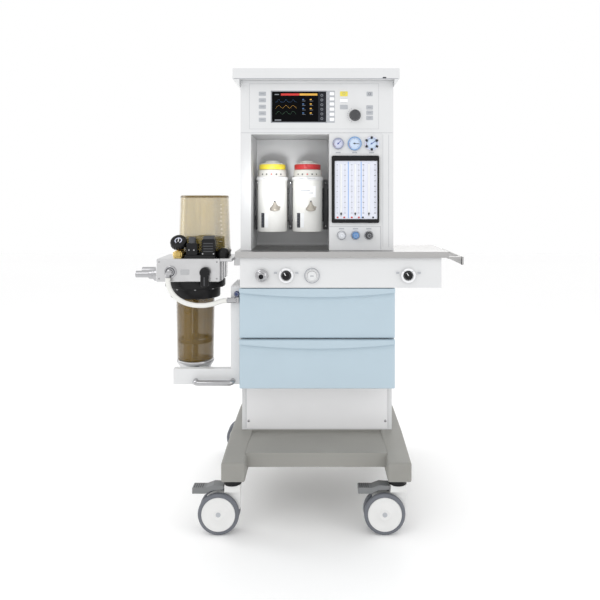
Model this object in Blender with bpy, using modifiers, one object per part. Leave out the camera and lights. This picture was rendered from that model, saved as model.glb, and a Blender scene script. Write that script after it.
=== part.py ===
"""Anesthesia machine on casters, with a side-mounted absorber, built as separate sub-parts.

Metres, +Z up. The front faces -Y and the breathing system hangs on the left, at -X.
The origin is on the floor, at the centre of the machine's footprint box.
"""

import math

import bmesh
import bpy
from mathutils import Matrix, Vector

# ---- driving dimensions -------------------------------------------------------------------------
GAP = 0.0003                 # between neighbours that touch
HALF_LENGTH = 0.345          # the base, front to back
HALF_WIDTH = 0.5377          # breathing port tips to the side rail's outer face

WHEEL_R = 0.0625             # 125 mm casters
TRAIL = 0.041                # wheel axle behind the swivel axis
STEM_LEFT, STEM_RIGHT = -0.189, 0.313
STEM_Y = 0.300
LEG_BOTTOM = 0.1684
LEG_TIP_TOP, LEG_TOP = 0.2264, 0.2425
BASE_X = 0.0655              # centre line of the base
LEG_INNER, LEG_OUTER = 0.213, 0.2845
DECK_TOP, DECK_BOTTOM, DECK_FRONT = 0.2351, 0.1922, 0.290

CAB_LEFT, CAB_RIGHT, CAB_BACK = -0.183, 0.317, 0.240
PLINTH_FRONT, DRAWER_BOX_FRONT, CAB_FRONT = -0.117, -0.1785, -0.160
PLINTH_TOP, LOWER_TOP = 0.4002, 0.7285
SHEET = 0.004                # cabinet sheet thickness

DRAWER_FACE = -0.196         # front of the drawer panels, behind their lips
DRAWERS = {"upper": (0.5660, 0.7265), "lower": (0.4030, 0.5615)}
LIP_DEPTH = 0.010
LIP_END, LIP_MIDDLE = 0.013, 0.027   # height of the grip lip at its ends and in its middle

APRON = (-0.1793, 0.4657)
APRON_FRONT, APRON_BACK = -0.205, 0.060
APRON_BOTTOM = 0.7288
CONTROL_Z = 0.7683
TABLE = (-0.194, 0.488)
TABLE_FRONT, TABLE_BACK = -0.215, 0.070
TABLE_BOTTOM, TABLE_TOP = 0.8256, 0.8446

BAY = (-0.1489, 0.1065)
BAY_TOP, BAY_BACK = 1.2247, 0.045
PANEL = (0.1071, 0.2768)     # instrument panels, left and right edge
FASCIA_BOTTOM, FASCIA_TOP = 1.2296, 1.4003
PLATE_BACK = -0.1483         # back of the fascia and the instrument panels
LID = (-0.206, 0.334)
LID_FRONT, LID_BACK = -0.190, 0.262
LID_BOTTOM, LID_TOP, LID_EAR = 1.4007, 1.4350, 1.3782

SCREEN = (-0.0801, 0.0967, 1.2656, 1.3638)
GAUGES = {"left": (0.1366, 0.0187), "middle": (0.1904, 0.0226), "right": (0.2460, 0.0226)}
GAUGE_Z = 1.1942
FLOW_KNOBS = {"left": 0.1475, "middle": 0.1933, "right": 0.2369}
FLOW_KNOB_Z = 0.894
BEZEL = (0.1150, 0.2703, 0.9349, 1.1543)
WINDOW = (0.1245, 0.2647, 0.9466, 1.1379)

VAPORIZERS = {"left": -0.0847, "right": 0.0347}
VAPORIZER_Y = -0.075

BLOCK = (-0.4522, -0.2458, -0.190, -0.020)
BLOCK_BOTTOM, BLOCK_TOP = 0.7457, 0.8200
DOME_X, DOME_Y = -0.3162, -0.0690
CANISTER_X, CANISTER_Y = -0.344, -0.0875
ARM = (-0.2130, -0.1833)
BEAM_LEFT, BEAM_BACK = -0.3995, -0.1495
ARM_FRONT, ARM_BACK = -0.175, -0.010
ARM_TOP, BEAM_TOP, BEAM_BOTTOM = 0.7300, 0.4611, 0.4106
HOSE_RADIUS = 0.0078
# The fresh gas hose: out of the elbow on the block, down, and across to the arm's connector.
HOSE_ROUTE = [
    (-0.4095, -0.2075, 0.7608), (-0.4092, -0.2076, 0.7460), (-0.4040, -0.2080, 0.7265),
    (-0.3925, -0.2085, 0.7080), (-0.3745, -0.2088, 0.6920), (-0.3510, -0.2085, 0.6800),
    (-0.3230, -0.2065, 0.6732), (-0.2930, -0.2025, 0.6720), (-0.2640, -0.1972, 0.6765),
    (-0.2420, -0.1918, 0.6835), (-0.2238, -0.1905, 0.6862),
]

FINISHES = {  # slot: colour, roughness, metallic
    "housing_white": ((0.86, 0.87, 0.88), 0.40, 0.0),
    "cabinet_white": ((0.84, 0.85, 0.86), 0.45, 0.0),
    "panel_grey": ((0.70, 0.71, 0.72), 0.45, 0.0),
    "drawer_blue": ((0.49, 0.63, 0.74), 0.45, 0.0),
    "base_grey": ((0.29, 0.29, 0.27), 0.50, 0.0),
    "stainless": ((0.62, 0.62, 0.62), 0.28, 1.0),
    "chrome": ((0.75, 0.75, 0.76), 0.12, 1.0),
    "block_metal": ((0.72, 0.73, 0.74), 0.32, 1.0),
    "black_plastic": ((0.02, 0.02, 0.022), 0.38, 0.0),
    "dark_grey_plastic": ((0.10, 0.10, 0.105), 0.45, 0.0),
    "pedal_grey": ((0.20, 0.21, 0.21), 0.50, 0.0),
    "amber_clear": ((0.50, 0.38, 0.14), 0.08, 0.0),
    "tyre_grey": ((0.15, 0.16, 0.18), 0.60, 0.0),
    "caster_white": ((0.82, 0.81, 0.80), 0.40, 0.0),
    "screen_glass": ((0.01, 0.01, 0.012), 0.10, 0.0),
    "flow_panel_clear": ((0.80, 0.81, 0.90), 0.12, 0.0),
    "gauge_grey": ((0.50, 0.53, 0.66), 0.30, 0.0),
    "gauge_blue": ((0.25, 0.47, 0.75), 0.30, 0.0),
    "gauge_black": ((0.02, 0.02, 0.02), 0.35, 0.0),
    "vaporizer_cream": ((0.74, 0.73, 0.69), 0.35, 0.0),
    "dial_yellow": ((0.80, 0.68, 0.08), 0.35, 0.0),
    "dial_red": ((0.50, 0.03, 0.04), 0.35, 0.0),
    "knob_clear": ((0.75, 0.77, 0.80), 0.20, 0.0),
    "knob_blue": ((0.15, 0.38, 0.70), 0.30, 0.0),
    "brass": ((0.66, 0.52, 0.25), 0.25, 1.0),
    "hose_white": ((0.82, 0.82, 0.80), 0.45, 0.0),
    "bellows_black": ((0.025, 0.025, 0.025), 0.60, 0.0),
}
FACE_FRONT = (math.radians(90), 0, 0)      # a turned shape's +Z points to -Y
FACE_LEFT = (0, math.radians(-90), 0)      # a turned shape's +Z points to -X


# ---- scene, collections, materials --------------------------------------------------------------
for old in list(bpy.data.objects):
    bpy.data.objects.remove(old, do_unlink=True)


def new_collection(name):
    made = bpy.data.collections.new(name)
    bpy.context.scene.collection.children.link(made)
    return made


PARTS = new_collection("anesthesia_machine")
CUTTERS = new_collection("cutters")


def material(slot):
    found = bpy.data.materials.get(slot)
    if found:
        return found
    colour, roughness, metallic = FINISHES[slot]
    made = bpy.data.materials.new(slot)
    made.use_nodes = True
    shader = made.node_tree.nodes["Principled BSDF"]
    shader.inputs["Base Color"].default_value = (*colour, 1.0)
    shader.inputs["Roughness"].default_value = roughness
    shader.inputs["Metallic"].default_value = metallic
    return made


def add_object(name, data, slot):
    """A sub-part when it has a material slot, and a hidden tool for a Boolean when it has none."""
    made = bpy.data.objects.new(name, data)
    if slot:
        PARTS.objects.link(made)
        data.materials.append(material(slot))
    else:
        CUTTERS.objects.link(made)
        made.hide_render = True
        made.display_type = "WIRE"
    return made


# ---- shapes -------------------------------------------------------------------------------------
def box(name, low, high, slot=None, bevel=0.0, origin=None):
    """A block between two corners, with rounded edges if asked."""
    low, high = Vector(low), Vector(high)
    middle = (low + high) / 2
    origin = Vector(origin) if origin else middle
    shape = bmesh.new()
    bmesh.ops.create_cube(shape, size=1.0)
    size = Matrix.Diagonal((*(high - low), 1.0))
    bmesh.ops.transform(shape, matrix=Matrix.Translation(middle - origin) @ size, verts=shape.verts)
    mesh = bpy.data.meshes.new(name)
    shape.to_mesh(mesh)
    shape.free()
    made = add_object(name, mesh, slot)
    made.location = origin
    if bevel:
        rounding = made.modifiers.new("rounding", "BEVEL")
        rounding.width = bevel
        rounding.segments = 1
        rounding.limit_method = "ANGLE"
    return made


def open_box(name, low, high, wall, open_side, slot, origin=None):
    """A sheet box with one side missing; open_side is that side's outward direction."""
    made = box(name, low, high, slot, origin=origin)
    shape = bmesh.new()
    shape.from_mesh(made.data)
    shape.normal_update()
    gone = [f for f in shape.faces if f.normal.dot(Vector(open_side)) > 0.9]
    bmesh.ops.delete(shape, geom=gone, context="FACES")
    shape.to_mesh(made.data)
    shape.free()
    sheet = made.modifiers.new("sheet", "SOLIDIFY")
    sheet.thickness = wall
    sheet.offset = -1
    sheet.use_even_offset = True
    return made


def turned(name, profile, at, slot=None, face=(0, 0, 0), steps=16):
    """A turned solid: profile lists (radius, height), from the axis at the top down its outer side."""
    mesh = bpy.data.meshes.new(name)
    points = [(radius, 0, height) for radius, height in profile]
    mesh.from_pydata(points, [(i, i + 1) for i in range(len(points) - 1)], [])
    made = add_object(name, mesh, slot)
    made.location = at
    made.rotation_euler = face
    turn = made.modifiers.new("turn", "SCREW")
    turn.steps = turn.render_steps = steps
    turn.use_merge_vertices = True
    turn.merge_threshold = 0.00001
    turn.use_smooth_shade = True
    return made


def rod(name, radius, low, high, at, slot=None, face=(0, 0, 0), steps=16):
    """A plain cylinder along the turned axis, from low to high."""
    return turned(name, [(0, high), (radius, high), (radius, low), (0, low)], at, slot, face, steps)


def as_mesh(source):
    """The same shape as a welded mesh, which can be cut, joined or bevelled."""
    bpy.context.view_layer.update()
    graph = bpy.context.evaluated_depsgraph_get()
    mesh = bpy.data.meshes.new_from_object(source.evaluated_get(graph))
    place = source.matrix_world.copy()
    name, slot = source.name, source.active_material.name if source.active_material else None
    shape = bmesh.new()
    shape.from_mesh(mesh)
    bmesh.ops.remove_doubles(shape, verts=shape.verts, dist=0.00001)
    bmesh.ops.recalc_face_normals(shape, faces=shape.faces)
    shape.to_mesh(mesh)
    shape.free()
    mesh.materials.clear()
    bpy.data.objects.remove(source, do_unlink=True)
    made = add_object(name, mesh, slot)
    made.name = name
    made.matrix_world = place
    return made


def extruded(name, outline, axis, low, high, slot=None, bevel=0.0, origin=None):
    """A flat outline extruded along x, y or z. The outline is in the other two axes, in their order."""
    curve = bpy.data.curves.new(name, "CURVE")
    curve.dimensions = "2D"
    curve.fill_mode = "BOTH"
    curve.extrude = (high - low) / 2
    line = curve.splines.new("POLY")
    line.points.add(len(outline) - 1)
    for point, (u, v) in zip(line.points, outline):
        point.co = (u, v, 0, 1)
    line.use_cyclic_u = True
    made = add_object(name, curve, slot)
    turns = {"x": (math.radians(90), 0, math.radians(90)), "y": FACE_FRONT, "z": (0, 0, 0)}
    made.rotation_euler = turns[axis]
    made.location["xyz".index(axis)] = (low + high) / 2
    made = as_mesh(made)
    origin = Vector(origin or (0, 0, 0))
    made.data.transform(Matrix.Translation(-origin) @ made.matrix_world)
    made.matrix_world = Matrix.Translation(origin)
    if bevel:
        rounding = made.modifiers.new("rounding", "BEVEL")
        rounding.width = bevel
        rounding.segments = 2
        rounding.limit_method = "ANGLE"
        rounding.angle_limit = math.radians(40)
    return made


def tube(name, points, radius, slot, resolution=2):
    """A round bar or hose along the points, with closed ends."""
    curve = bpy.data.curves.new(name, "CURVE")
    curve.dimensions = "3D"
    curve.bevel_depth = radius
    curve.bevel_resolution = resolution
    curve.use_fill_caps = True
    line = curve.splines.new("POLY")
    line.points.add(len(points) - 1)
    for point, place in zip(line.points, points):
        point.co = (*place, 1)
    return add_object(name, curve, slot)


def combine(target, tools, operation):
    for tool in tools:
        step = target.modifiers.new(tool.name, "BOOLEAN")
        step.operation = operation
        step.object = tool
        step.solver = "EXACT"
    return target


def cut(target, *tools):
    return combine(target, tools, "DIFFERENCE")


def join(target, *tools):
    return combine(target, tools, "UNION")


def smooth_points(route, steps):
    """Points on a Catmull-Rom curve through the route."""
    route = [Vector(p) for p in route]
    ends = [2 * route[0] - route[1], *route, 2 * route[-1] - route[-2]]
    points = []
    for a, b, c, d in zip(ends, ends[1:], ends[2:], ends[3:]):
        for step in range(steps):
            t = step / steps
            points.append(0.5 * (2 * b + (c - a) * t + (2 * a - 5 * b + 4 * c - d) * t ** 2
                                 + (3 * b - a - 3 * c + d) * t ** 3))
    return points + [route[-1]]


def arc(radius, start, end, steps):
    """Points on a circle about (0, 0), angles in degrees."""
    angles = [math.radians(start + (end - start) * i / steps) for i in range(steps + 1)]
    return [(radius * math.cos(a), radius * math.sin(a)) for a in angles]


# ---- base and casters ---------------------------------------------------------------------------
def make_base():
    """Two side legs joined by a deck; hollow from below, solid where the caster stems go in."""
    wall, cabinet_half = 0.008, 0.117
    profile = [
        (-HALF_LENGTH, LEG_BOTTOM), (HALF_LENGTH, LEG_BOTTOM), (HALF_LENGTH, LEG_TIP_TOP),
        (cabinet_half, LEG_TOP), (-cabinet_half, LEG_TOP), (-HALF_LENGTH, LEG_TIP_TOP),
    ]
    legs, channels = [], []
    for side, name, slot in ((-1, "base_frame", "base_grey"), (1, "leg_right", None)):
        low, high = sorted((BASE_X + side * LEG_INNER, BASE_X + side * LEG_OUTER))
        legs.append(extruded(name, profile, "x", low, high, slot, bevel=0.006))
        channels.append(box(f"channel_{name}", (low + wall, -0.25, 0.1),
                            (high - wall, 0.25, LEG_TIP_TOP - wall)))
    half = LEG_INNER + 0.004
    deck = box("deck", (BASE_X - half, -DECK_FRONT, DECK_BOTTOM), (BASE_X + half, DECK_FRONT, DECK_TOP))
    land = box("deck_land", (BASE_X - half, PLINTH_FRONT, DECK_TOP - 0.01),
               (BASE_X + half, CAB_BACK, LEG_TOP))
    inside = LEG_INNER - 0.008
    hollow = box("deck_hollow", (BASE_X - inside, -DECK_FRONT + wall, 0.1),
                 (BASE_X + inside, DECK_FRONT - wall, DECK_TOP - wall))
    join(legs[0], legs[1], deck, land)
    cut(legs[0], hollow, *channels)


def make_caster(tag, x, y, braked):
    """Twin-wheel caster: a housing between two wheels that share one axle. The swivel axis is vertical."""
    axle = Vector((x - TRAIL, y, WHEEL_R))
    housing_half, axle_r, hub = 0.0070, 0.0060, 0.022
    fender = [(hub * 0.9, -hub * 0.5), (0.0640, 0.010), (0.0655, 0.040), (0.0645, 0.0870), (0.0185, 0.0870),
              *arc(0.0600, 74, 128, 8), (-hub * 0.9, -hub * 0.2), (0, -hub)]
    outline = [(axle.x + u, axle.z + v) for u, v in fender]
    housing = extruded(f"caster_{tag}_housing", outline, "y", y - housing_half, y + housing_half,
                       "caster_white", origin=(x, y, 0.15))
    neck = box(f"neck_{tag}", (x - 0.023, y - 0.020, 0.1285), (x + 0.024, y + 0.020, 0.1500))
    stem = rod(f"stem_{tag}", 0.0225, 0.148, LEG_BOTTOM - GAP, (x, y, 0))
    hole = rod(f"axle_hole_{tag}", axle_r + 0.0008, -0.03, 0.03, axle, face=FACE_FRONT, steps=12)
    cut(join(housing, neck, stem), hole)
    edge, inner = 0.0265, housing_half + 0.0015
    rim, face_r = WHEEL_R, 0.0515
    half = [(0, edge - 0.0010), (face_r, edge - 0.0015), (rim - 0.006, edge - 0.001), (rim, edge - 0.007),
            (rim, inner + 0.003), (rim - 0.005, inner), (axle_r, inner)]
    profile = half + [(radius, -height) for radius, height in reversed(half)]
    turned(f"caster_{tag}_wheels", profile, axle, "tyre_grey", FACE_FRONT, 20)
    if braked:
        side = [(0.0155, 0.0845), (-0.016, 0.0865), (-0.038, 0.0785), (-0.080, 0.0785), (-0.080, 0.0600),
                (-0.040, 0.0600), (-0.020, 0.0700), (0.0155, 0.0730)]
        extruded(f"brake_pedal_{tag}", [(axle.x + u, axle.z + v) for u, v in side], "y",
                 y - 0.018, y + 0.018, "pedal_grey", bevel=0.002, origin=(axle.x + 0.011, y, axle.z + 0.079))


def make_base_group():
    make_base()
    for tag, x, y in (("front_left", STEM_LEFT, -STEM_Y), ("front_right", STEM_RIGHT, -STEM_Y),
                      ("rear_left", STEM_LEFT, STEM_Y), ("rear_right", STEM_RIGHT, STEM_Y)):
        make_caster(tag, x, y, y < 0)


# ---- lower cabinet and drawers ------------------------------------------------------------------
def make_lower_cabinet():
    """Sheet cabinet with two drawer bays and, set back below them, a plinth closed by a plate."""
    bottom = LEG_TOP + GAP
    profile = [
        (DRAWER_BOX_FRONT, LOWER_TOP), (DRAWER_BOX_FRONT, PLINTH_TOP), (PLINTH_FRONT, PLINTH_TOP),
        (PLINTH_FRONT, bottom), (CAB_BACK, bottom), (CAB_BACK, LOWER_TOP),
    ]
    cabinet = extruded("lower_cabinet", profile, "x", CAB_LEFT, CAB_RIGHT, "cabinet_white")
    left, right, back = CAB_LEFT + SHEET, CAB_RIGHT - SHEET, CAB_BACK - SHEET
    shelf = DRAWERS["upper"][0] - 0.002
    bays = [
        box("upper_bay", (left, -0.3, shelf), (right, back, LOWER_TOP - SHEET)),
        box("lower_bay", (left, -0.3, PLINTH_TOP + SHEET), (right, back, shelf - 0.003)),
        box("plinth_bay", (-0.1707, -0.3, bottom + SHEET), (0.3050, back, PLINTH_TOP - SHEET)),
    ]
    cut(cabinet, *bays)
    box("lower_front_panel", (-0.1703, PLINTH_FRONT + 0.0005, bottom + SHEET + 0.0004),
        (0.3046, PLINTH_FRONT + 0.0035, PLINTH_TOP - SHEET - 0.0004), "panel_grey")


def make_drawer(tag, bottom, top):
    """A sheet tray behind a front panel whose grip lip hangs down in a shallow curve."""
    left, right = CAB_LEFT + 0.001, CAB_RIGHT + 0.001
    back = DRAWER_BOX_FRONT - GAP
    origin = ((left + right) / 2, back, (bottom + top) / 2)
    front = box(f"drawer_{tag}_front", (left, DRAWER_FACE, bottom), (right, back, top), "drawer_blue",
                bevel=0.002, origin=origin)
    middle, half, steps = (left + right) / 2, (right - left) / 2 - 0.0004, 16
    curve = []
    for step in range(steps + 1):
        along = -1 + 2 * step / steps
        drop = LIP_END + (LIP_MIDDLE - LIP_END) * (1 - along ** 2)
        curve.append((middle + half * along, top - 0.0005 - drop))
    outline = [*curve, (middle + half, top - 0.0005), (middle - half, top - 0.0005)]
    lip = extruded(f"drawer_{tag}_lip", outline, "y", DRAWER_FACE - LIP_DEPTH, DRAWER_FACE + 0.004,
                   bevel=0.0025)
    join(front, lip)
    open_box(f"drawer_{tag}_tray", (left + 0.011, back + GAP, bottom + 0.006),
             (right - 0.013, 0.195, top - 0.030),
             0.003, (0, 0, 1), "cabinet_white", origin=origin)


def make_lower_group():
    make_lower_cabinet()
    for tag, (bottom, top) in DRAWERS.items():
        make_drawer(tag, bottom, top)


# ---- worktop and its control apron --------------------------------------------------------------
def knob(name, x, z, y, radius, length, slot, grips=0):
    """A round control knob whose back is a gap in front of a panel at y."""
    profile = [(0, length), (radius * 0.80, length), (radius * 0.92, length * 0.90),
               (radius, length * 0.35),
               (radius * 1.08, length * 0.12), (radius * 1.08, GAP), (0, GAP)]
    made = turned(name, profile, (x, y, z), slot, FACE_FRONT, 14)
    for grip in range(grips):
        angle = 2 * math.pi * grip / grips
        reach = radius * 1.12
        notch = rod(f"{name}_notch_{grip}", radius * 0.22, length * 0.30, length * 1.2,
                    (x + reach * math.cos(angle), y, z + reach * math.sin(angle)), face=FACE_FRONT, steps=8)
        cut(made, notch)
    return made


def make_apron():
    apron = open_box("control_apron", (APRON[0], APRON_FRONT, APRON_BOTTOM),
                     (APRON[1], APRON_BACK, TABLE_BOTTOM - GAP),
                     0.003, (0, 0, 1), "housing_white")
    flush_x, flush_r = 0.0513, 0.0150
    at = (flush_x, APRON_FRONT, CONTROL_Z)
    collar = turned("flush_collar", [(0, 0.0065), (0.0190, 0.0065), (0.0224, -0.001), (0, -0.001)], at,
                    face=FACE_FRONT)
    cut(join(apron, collar), rod("flush_hole", flush_r + 0.0008, -0.01, 0.01, at, face=FACE_FRONT))
    button = [(0, 0.0100), (flush_r - 0.004, 0.0098), (flush_r, 0.0075), (flush_r, -0.0120), (0, -0.0120)]
    turned("flush_button", button, at, "housing_white", FACE_FRONT)
    outlet = [(0.0075, 0.030), (0.0110, 0.030), (0.0122, 0.027), (0.0122, 0.013), (0.0165, 0.011),
              (0.0205, 0.006),
              (0.0205, GAP), (0, GAP), (0, 0.008), (0.0075, 0.008), (0.0075, 0.030)]
    turned("gas_outlet", outlet, (-0.1088, APRON_FRONT, CONTROL_Z), "chrome", FACE_FRONT)
    knob("mode_knob", -0.0313, CONTROL_Z, APRON_FRONT, 0.0155, 0.020, "black_plastic")
    knob("power_knob", 0.3590, CONTROL_Z, APRON_FRONT, 0.0148, 0.018, "black_plastic")


def make_table_group():
    open_box("worktop", (TABLE[0], TABLE_FRONT, TABLE_BOTTOM), (TABLE[1], TABLE_BACK, TABLE_TOP),
             0.002, (0, 0, -1), "stainless")
    make_apron()
    rail = box("side_rail", (HALF_WIDTH - 0.006, -0.200, 0.8020), (HALF_WIDTH, 0.115, 0.8275), "stainless",
               bevel=0.001)
    brackets = [
        box(f"rail_bracket_{end}", (TABLE[1] + GAP, y - 0.012, 0.8270 - 0.006),
            (HALF_WIDTH - 0.003, y + 0.012, 0.8270))
        for end, y in (("front", -0.186), ("rear", 0.050))
    ]
    join(rail, *brackets)


# ---- upper cabinet ------------------------------------------------------------------------------
def make_upper_cabinet():
    """Housing with the vaporizer bay at the left and hollow spaces behind each front panel."""
    foot, column_back = TABLE_TOP + GAP, TABLE_BACK + 0.0005
    step_y = PLATE_BACK + GAP
    profile = [
        (step_y, LID_BOTTOM - GAP), (CAB_BACK, LID_BOTTOM - GAP), (CAB_BACK, LOWER_TOP + GAP),
        (column_back, LOWER_TOP + GAP), (column_back, foot), (CAB_FRONT, foot),
        (CAB_FRONT, FASCIA_BOTTOM - GAP), (step_y, FASCIA_BOTTOM - GAP),
    ]
    cabinet = extruded("upper_cabinet", profile, "x", CAB_LEFT, CAB_RIGHT, "housing_white")
    side, roof = 0.006, LID_BOTTOM - 0.008
    spaces = [
        box("bay_space", (BAY[0], -0.3, 0.80), (BAY[1], BAY_BACK, BAY_TOP)),
        box("panel_recess", (PANEL[0] - 0.0004, -0.3, 0.80), (PANEL[1] + 0.0004, step_y, FASCIA_BOTTOM)),
        box("panel_space", (PANEL[0] + 0.008, -0.3, foot + 0.012), (PANEL[1] - 0.008, -0.04, 1.218)),
        box("monitor_space", (CAB_LEFT + 0.012, -0.3, 1.238), (CAB_RIGHT - 0.012, 0.1, roof)),
        box("rear_space", (CAB_LEFT + side, 0.060, 0.853),
            (CAB_RIGHT - side, CAB_BACK - side, roof - 0.004)),
        box("pipe_space", (CAB_LEFT + 0.008, TABLE_BACK + side, LOWER_TOP + side),
            (CAB_RIGHT - 0.008, CAB_BACK - 0.008, 0.9)),
        box("left_column", (CAB_LEFT + side, -0.152, foot + 0.008), (BAY[0] - side, 0.1, 1.216)),
        box("right_column", (PANEL[1] + side, -0.152, foot + 0.008), (CAB_RIGHT - side, 0.1, 1.216)),
    ]
    cut(cabinet, *spaces)


def make_lid():
    """Cap with side ears that slope in to the housing."""
    left, right = CAB_LEFT - 0.0005, CAB_RIGHT + 0.0005
    lid = box("top_lid", (LID[0], LID_FRONT, LID_BOTTOM), (LID[1], LID_BACK, LID_TOP), "housing_white",
              bevel=0.0015)
    for inner, outer in ((left, LID[0]), (right, LID[1])):
        ear = [(inner, LID_EAR), (outer, LID_BOTTOM + 0.0005), (outer, LID_BOTTOM + 0.010),
               (inner, LID_BOTTOM + 0.010)]
        tool = extruded(f"ear_{outer:.2f}", ear, "y", LID_FRONT + 0.0004, LID_BACK - 0.0004)
        join(lid, tool)
    cut(lid, box("lid_hollow", (left + 0.01, -0.14, 1.38),
                 (right - 0.01, CAB_BACK - 0.02, LID_TOP - 0.005)))


def make_monitor():
    fascia = box("monitor_fascia", (CAB_LEFT, CAB_FRONT, FASCIA_BOTTOM),
                 (CAB_RIGHT, PLATE_BACK, FASCIA_TOP), "housing_white")
    left, right, bottom, top = SCREEN
    margin = 0.0006
    pocket = box("screen_pocket", (left - margin, -0.3, bottom - margin),
                 (right + margin, CAB_FRONT + 0.006, top + margin))
    cut(fascia, pocket)
    box("display_screen", (left, CAB_FRONT + 0.0006, bottom), (right, CAB_FRONT + 0.0056, top),
        "screen_glass")
    knob("encoder_knob", 0.1917, 1.2869, CAB_FRONT, 0.0178, 0.017, "dark_grey_plastic")


def make_gauge(tag, x, radius):
    """A gauge with a raised rim round its dial."""
    slot = {"left": "gauge_grey", "middle": "gauge_blue", "right": "gauge_black"}[tag]
    profile = [(0, 0.0030), (radius - 0.0035, 0.0030), (radius - 0.0030, 0.0075), (radius - 0.0008, 0.0075),
               (radius, 0.0060), (radius, GAP), (0, GAP)]
    turned(f"gauge_{tag}", profile, (x, CAB_FRONT, GAUGE_Z), slot, FACE_FRONT)


def make_instruments():
    box("instrument_panel", (PANEL[0], CAB_FRONT, TABLE_TOP + 0.0006),
        (PANEL[1], PLATE_BACK, FASCIA_BOTTOM - 0.0008),
        "housing_white")
    for tag, (x, radius) in GAUGES.items():
        make_gauge(tag, x, radius)
    front = CAB_FRONT - GAP
    bezel = box("flowmeter_bezel", (BEZEL[0], front - 0.010, BEZEL[2]), (BEZEL[1], front, BEZEL[3]),
                "black_plastic",
                bevel=0.003)
    cut(bezel, box("window_hole", (WINDOW[0], -0.3, WINDOW[2]), (WINDOW[1], 0.0, WINDOW[3])))
    edge = 0.0004
    box("flowmeter_block", (WINDOW[0] + edge, front - 0.007, WINDOW[2] + edge),
        (WINDOW[1] - edge, front, WINDOW[3] - edge), "flow_panel_clear")
    slots = {"left": "knob_clear", "middle": "knob_blue", "right": "dark_grey_plastic"}
    for tag, x in FLOW_KNOBS.items():
        knob(f"flow_knob_{tag}", x, FLOW_KNOB_Z, CAB_FRONT, 0.0120, 0.024, slots[tag], grips=6)


def make_vaporizer(tag, x):
    """A vaporizer on the back bar, with its dial on top and its filler at the front."""
    place = (x, VAPORIZER_Y, 0)
    body = turned(f"vaporizer_{tag}_body", [
        (0, 1.1112), (0.0450, 1.1112), (0.0470, 1.1085), (0.0480, 1.0882), (0.0535, 1.0865),
        (0.0535, 1.0760), (0.0505, 1.0735), (0.0505, 0.9050), (0.0480, 0.9023), (0, 0.9023)],
        place, "vaporizer_cream", steps=20)
    slot = "dial_yellow" if tag == "left" else "dial_red"
    turned(f"vaporizer_{tag}_dial", [
        (0, 1.1428), (0.0140, 1.1428), (0.0160, 1.1360), (0.0400, 1.1330), (0.0445, 1.1300),
        (0.0445, 1.1115), (0, 1.1115)], place, slot, steps=20)
    filler = turned(f"filler_{tag}", [
        (0, 0.0230), (0.0075, 0.0230), (0.0085, 0.0150), (0.0165, 0.0080), (0.0175, -0.01), (0, -0.01)],
        (x + 0.012, VAPORIZER_Y - 0.0505, 0.990), face=FACE_FRONT, steps=12)
    flat = box(f"flat_{tag}", (x - 0.1, VAPORIZER_Y + 0.047, 0.85), (x + 0.1, 0.1, 1.2))
    cut(join(body, filler), flat)


def make_upper_group():
    make_upper_cabinet()
    make_lid()
    make_monitor()
    make_instruments()
    box("vaporizer_back_bar", (BAY[0] + 0.0005, VAPORIZER_Y + 0.0475, 0.935),
        (BAY[1] - 0.0005, BAY_BACK - GAP, 1.050),
        "dark_grey_plastic", bevel=0.002)
    for tag, x in VAPORIZERS.items():
        make_vaporizer(tag, x)


# ---- breathing system ---------------------------------------------------------------------------
def make_bellows():
    """Bellows in its clear dome, collapsed, under a top plate that rides up as they fill."""
    place = (DOME_X, DOME_Y, 0)
    low = BLOCK_TOP + GAP
    turned("bellows_base", [(0, 0.8400), (0.0835, 0.8400), (0.0897, 0.8385), (0.0897, low), (0, low)],
           place, "black_plastic", steps=20)
    wall, foot = 0.0025, 0.8403
    turned("bellows_dome", [
        (0, 1.0251), (0.0750, 1.0251), (0.0813, 1.0200), (0.0875, foot + 0.006),
        (0.0895, foot + 0.004), (0.0895, foot), (0.0873 - wall, foot), (0.0813 - wall, 1.0185),
        (0.0740, 1.0226), (0, 1.0226)], place, "amber_clear", steps=20)
    folds, bottom, top = 3, foot + GAP, 0.878
    pitch = (top - bottom) / folds
    sides = []
    for fold in range(folds):
        crest = top - fold * pitch
        sides += [(0.0600, crest), (0.0690, crest - pitch * 0.35), (0.0690, crest - pitch * 0.65)]
    turned("bellows", [(0, top), *sides, (0.0600, bottom), (0, bottom)], place, "bellows_black", steps=16)
    turned("bellows_plate", [
        (0, 0.8900), (0.0200, 0.8900), (0.0220, 0.8860), (0.0640, 0.8845), (0.0670, 0.8820),
        (0.0670, top + GAP), (0, top + GAP)], place, "dark_grey_plastic", steps=16)


def make_relief_valve():
    """The pressure relief valve: a brass body and a knob tilted towards the front."""
    x, y, tilt = -0.3840, -0.1580, math.radians(45)
    seat = (x, y, 0.8640)
    body = turned("apl_valve_body", [
        (0, 0.8440), (0.0130, 0.8440), (0.0160, 0.8420), (0.0206, 0.8380), (0.0206, BLOCK_TOP + GAP),
        (0, BLOCK_TOP + GAP)], (x, y, 0), "brass", steps=14)
    join(body, rod("relief_neck", 0.0120, -0.026, 0.0, seat, face=(tilt, 0, 0), steps=12))
    turned("apl_valve_knob", [
        (0, 0.0210), (0.0208, 0.0210), (0.0256, 0.0180), (0.0276, 0.0150), (0.0276, 0.0030),
        (0.0235, GAP), (0, GAP)], seat, "black_plastic", (tilt, 0, 0), 16)


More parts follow.
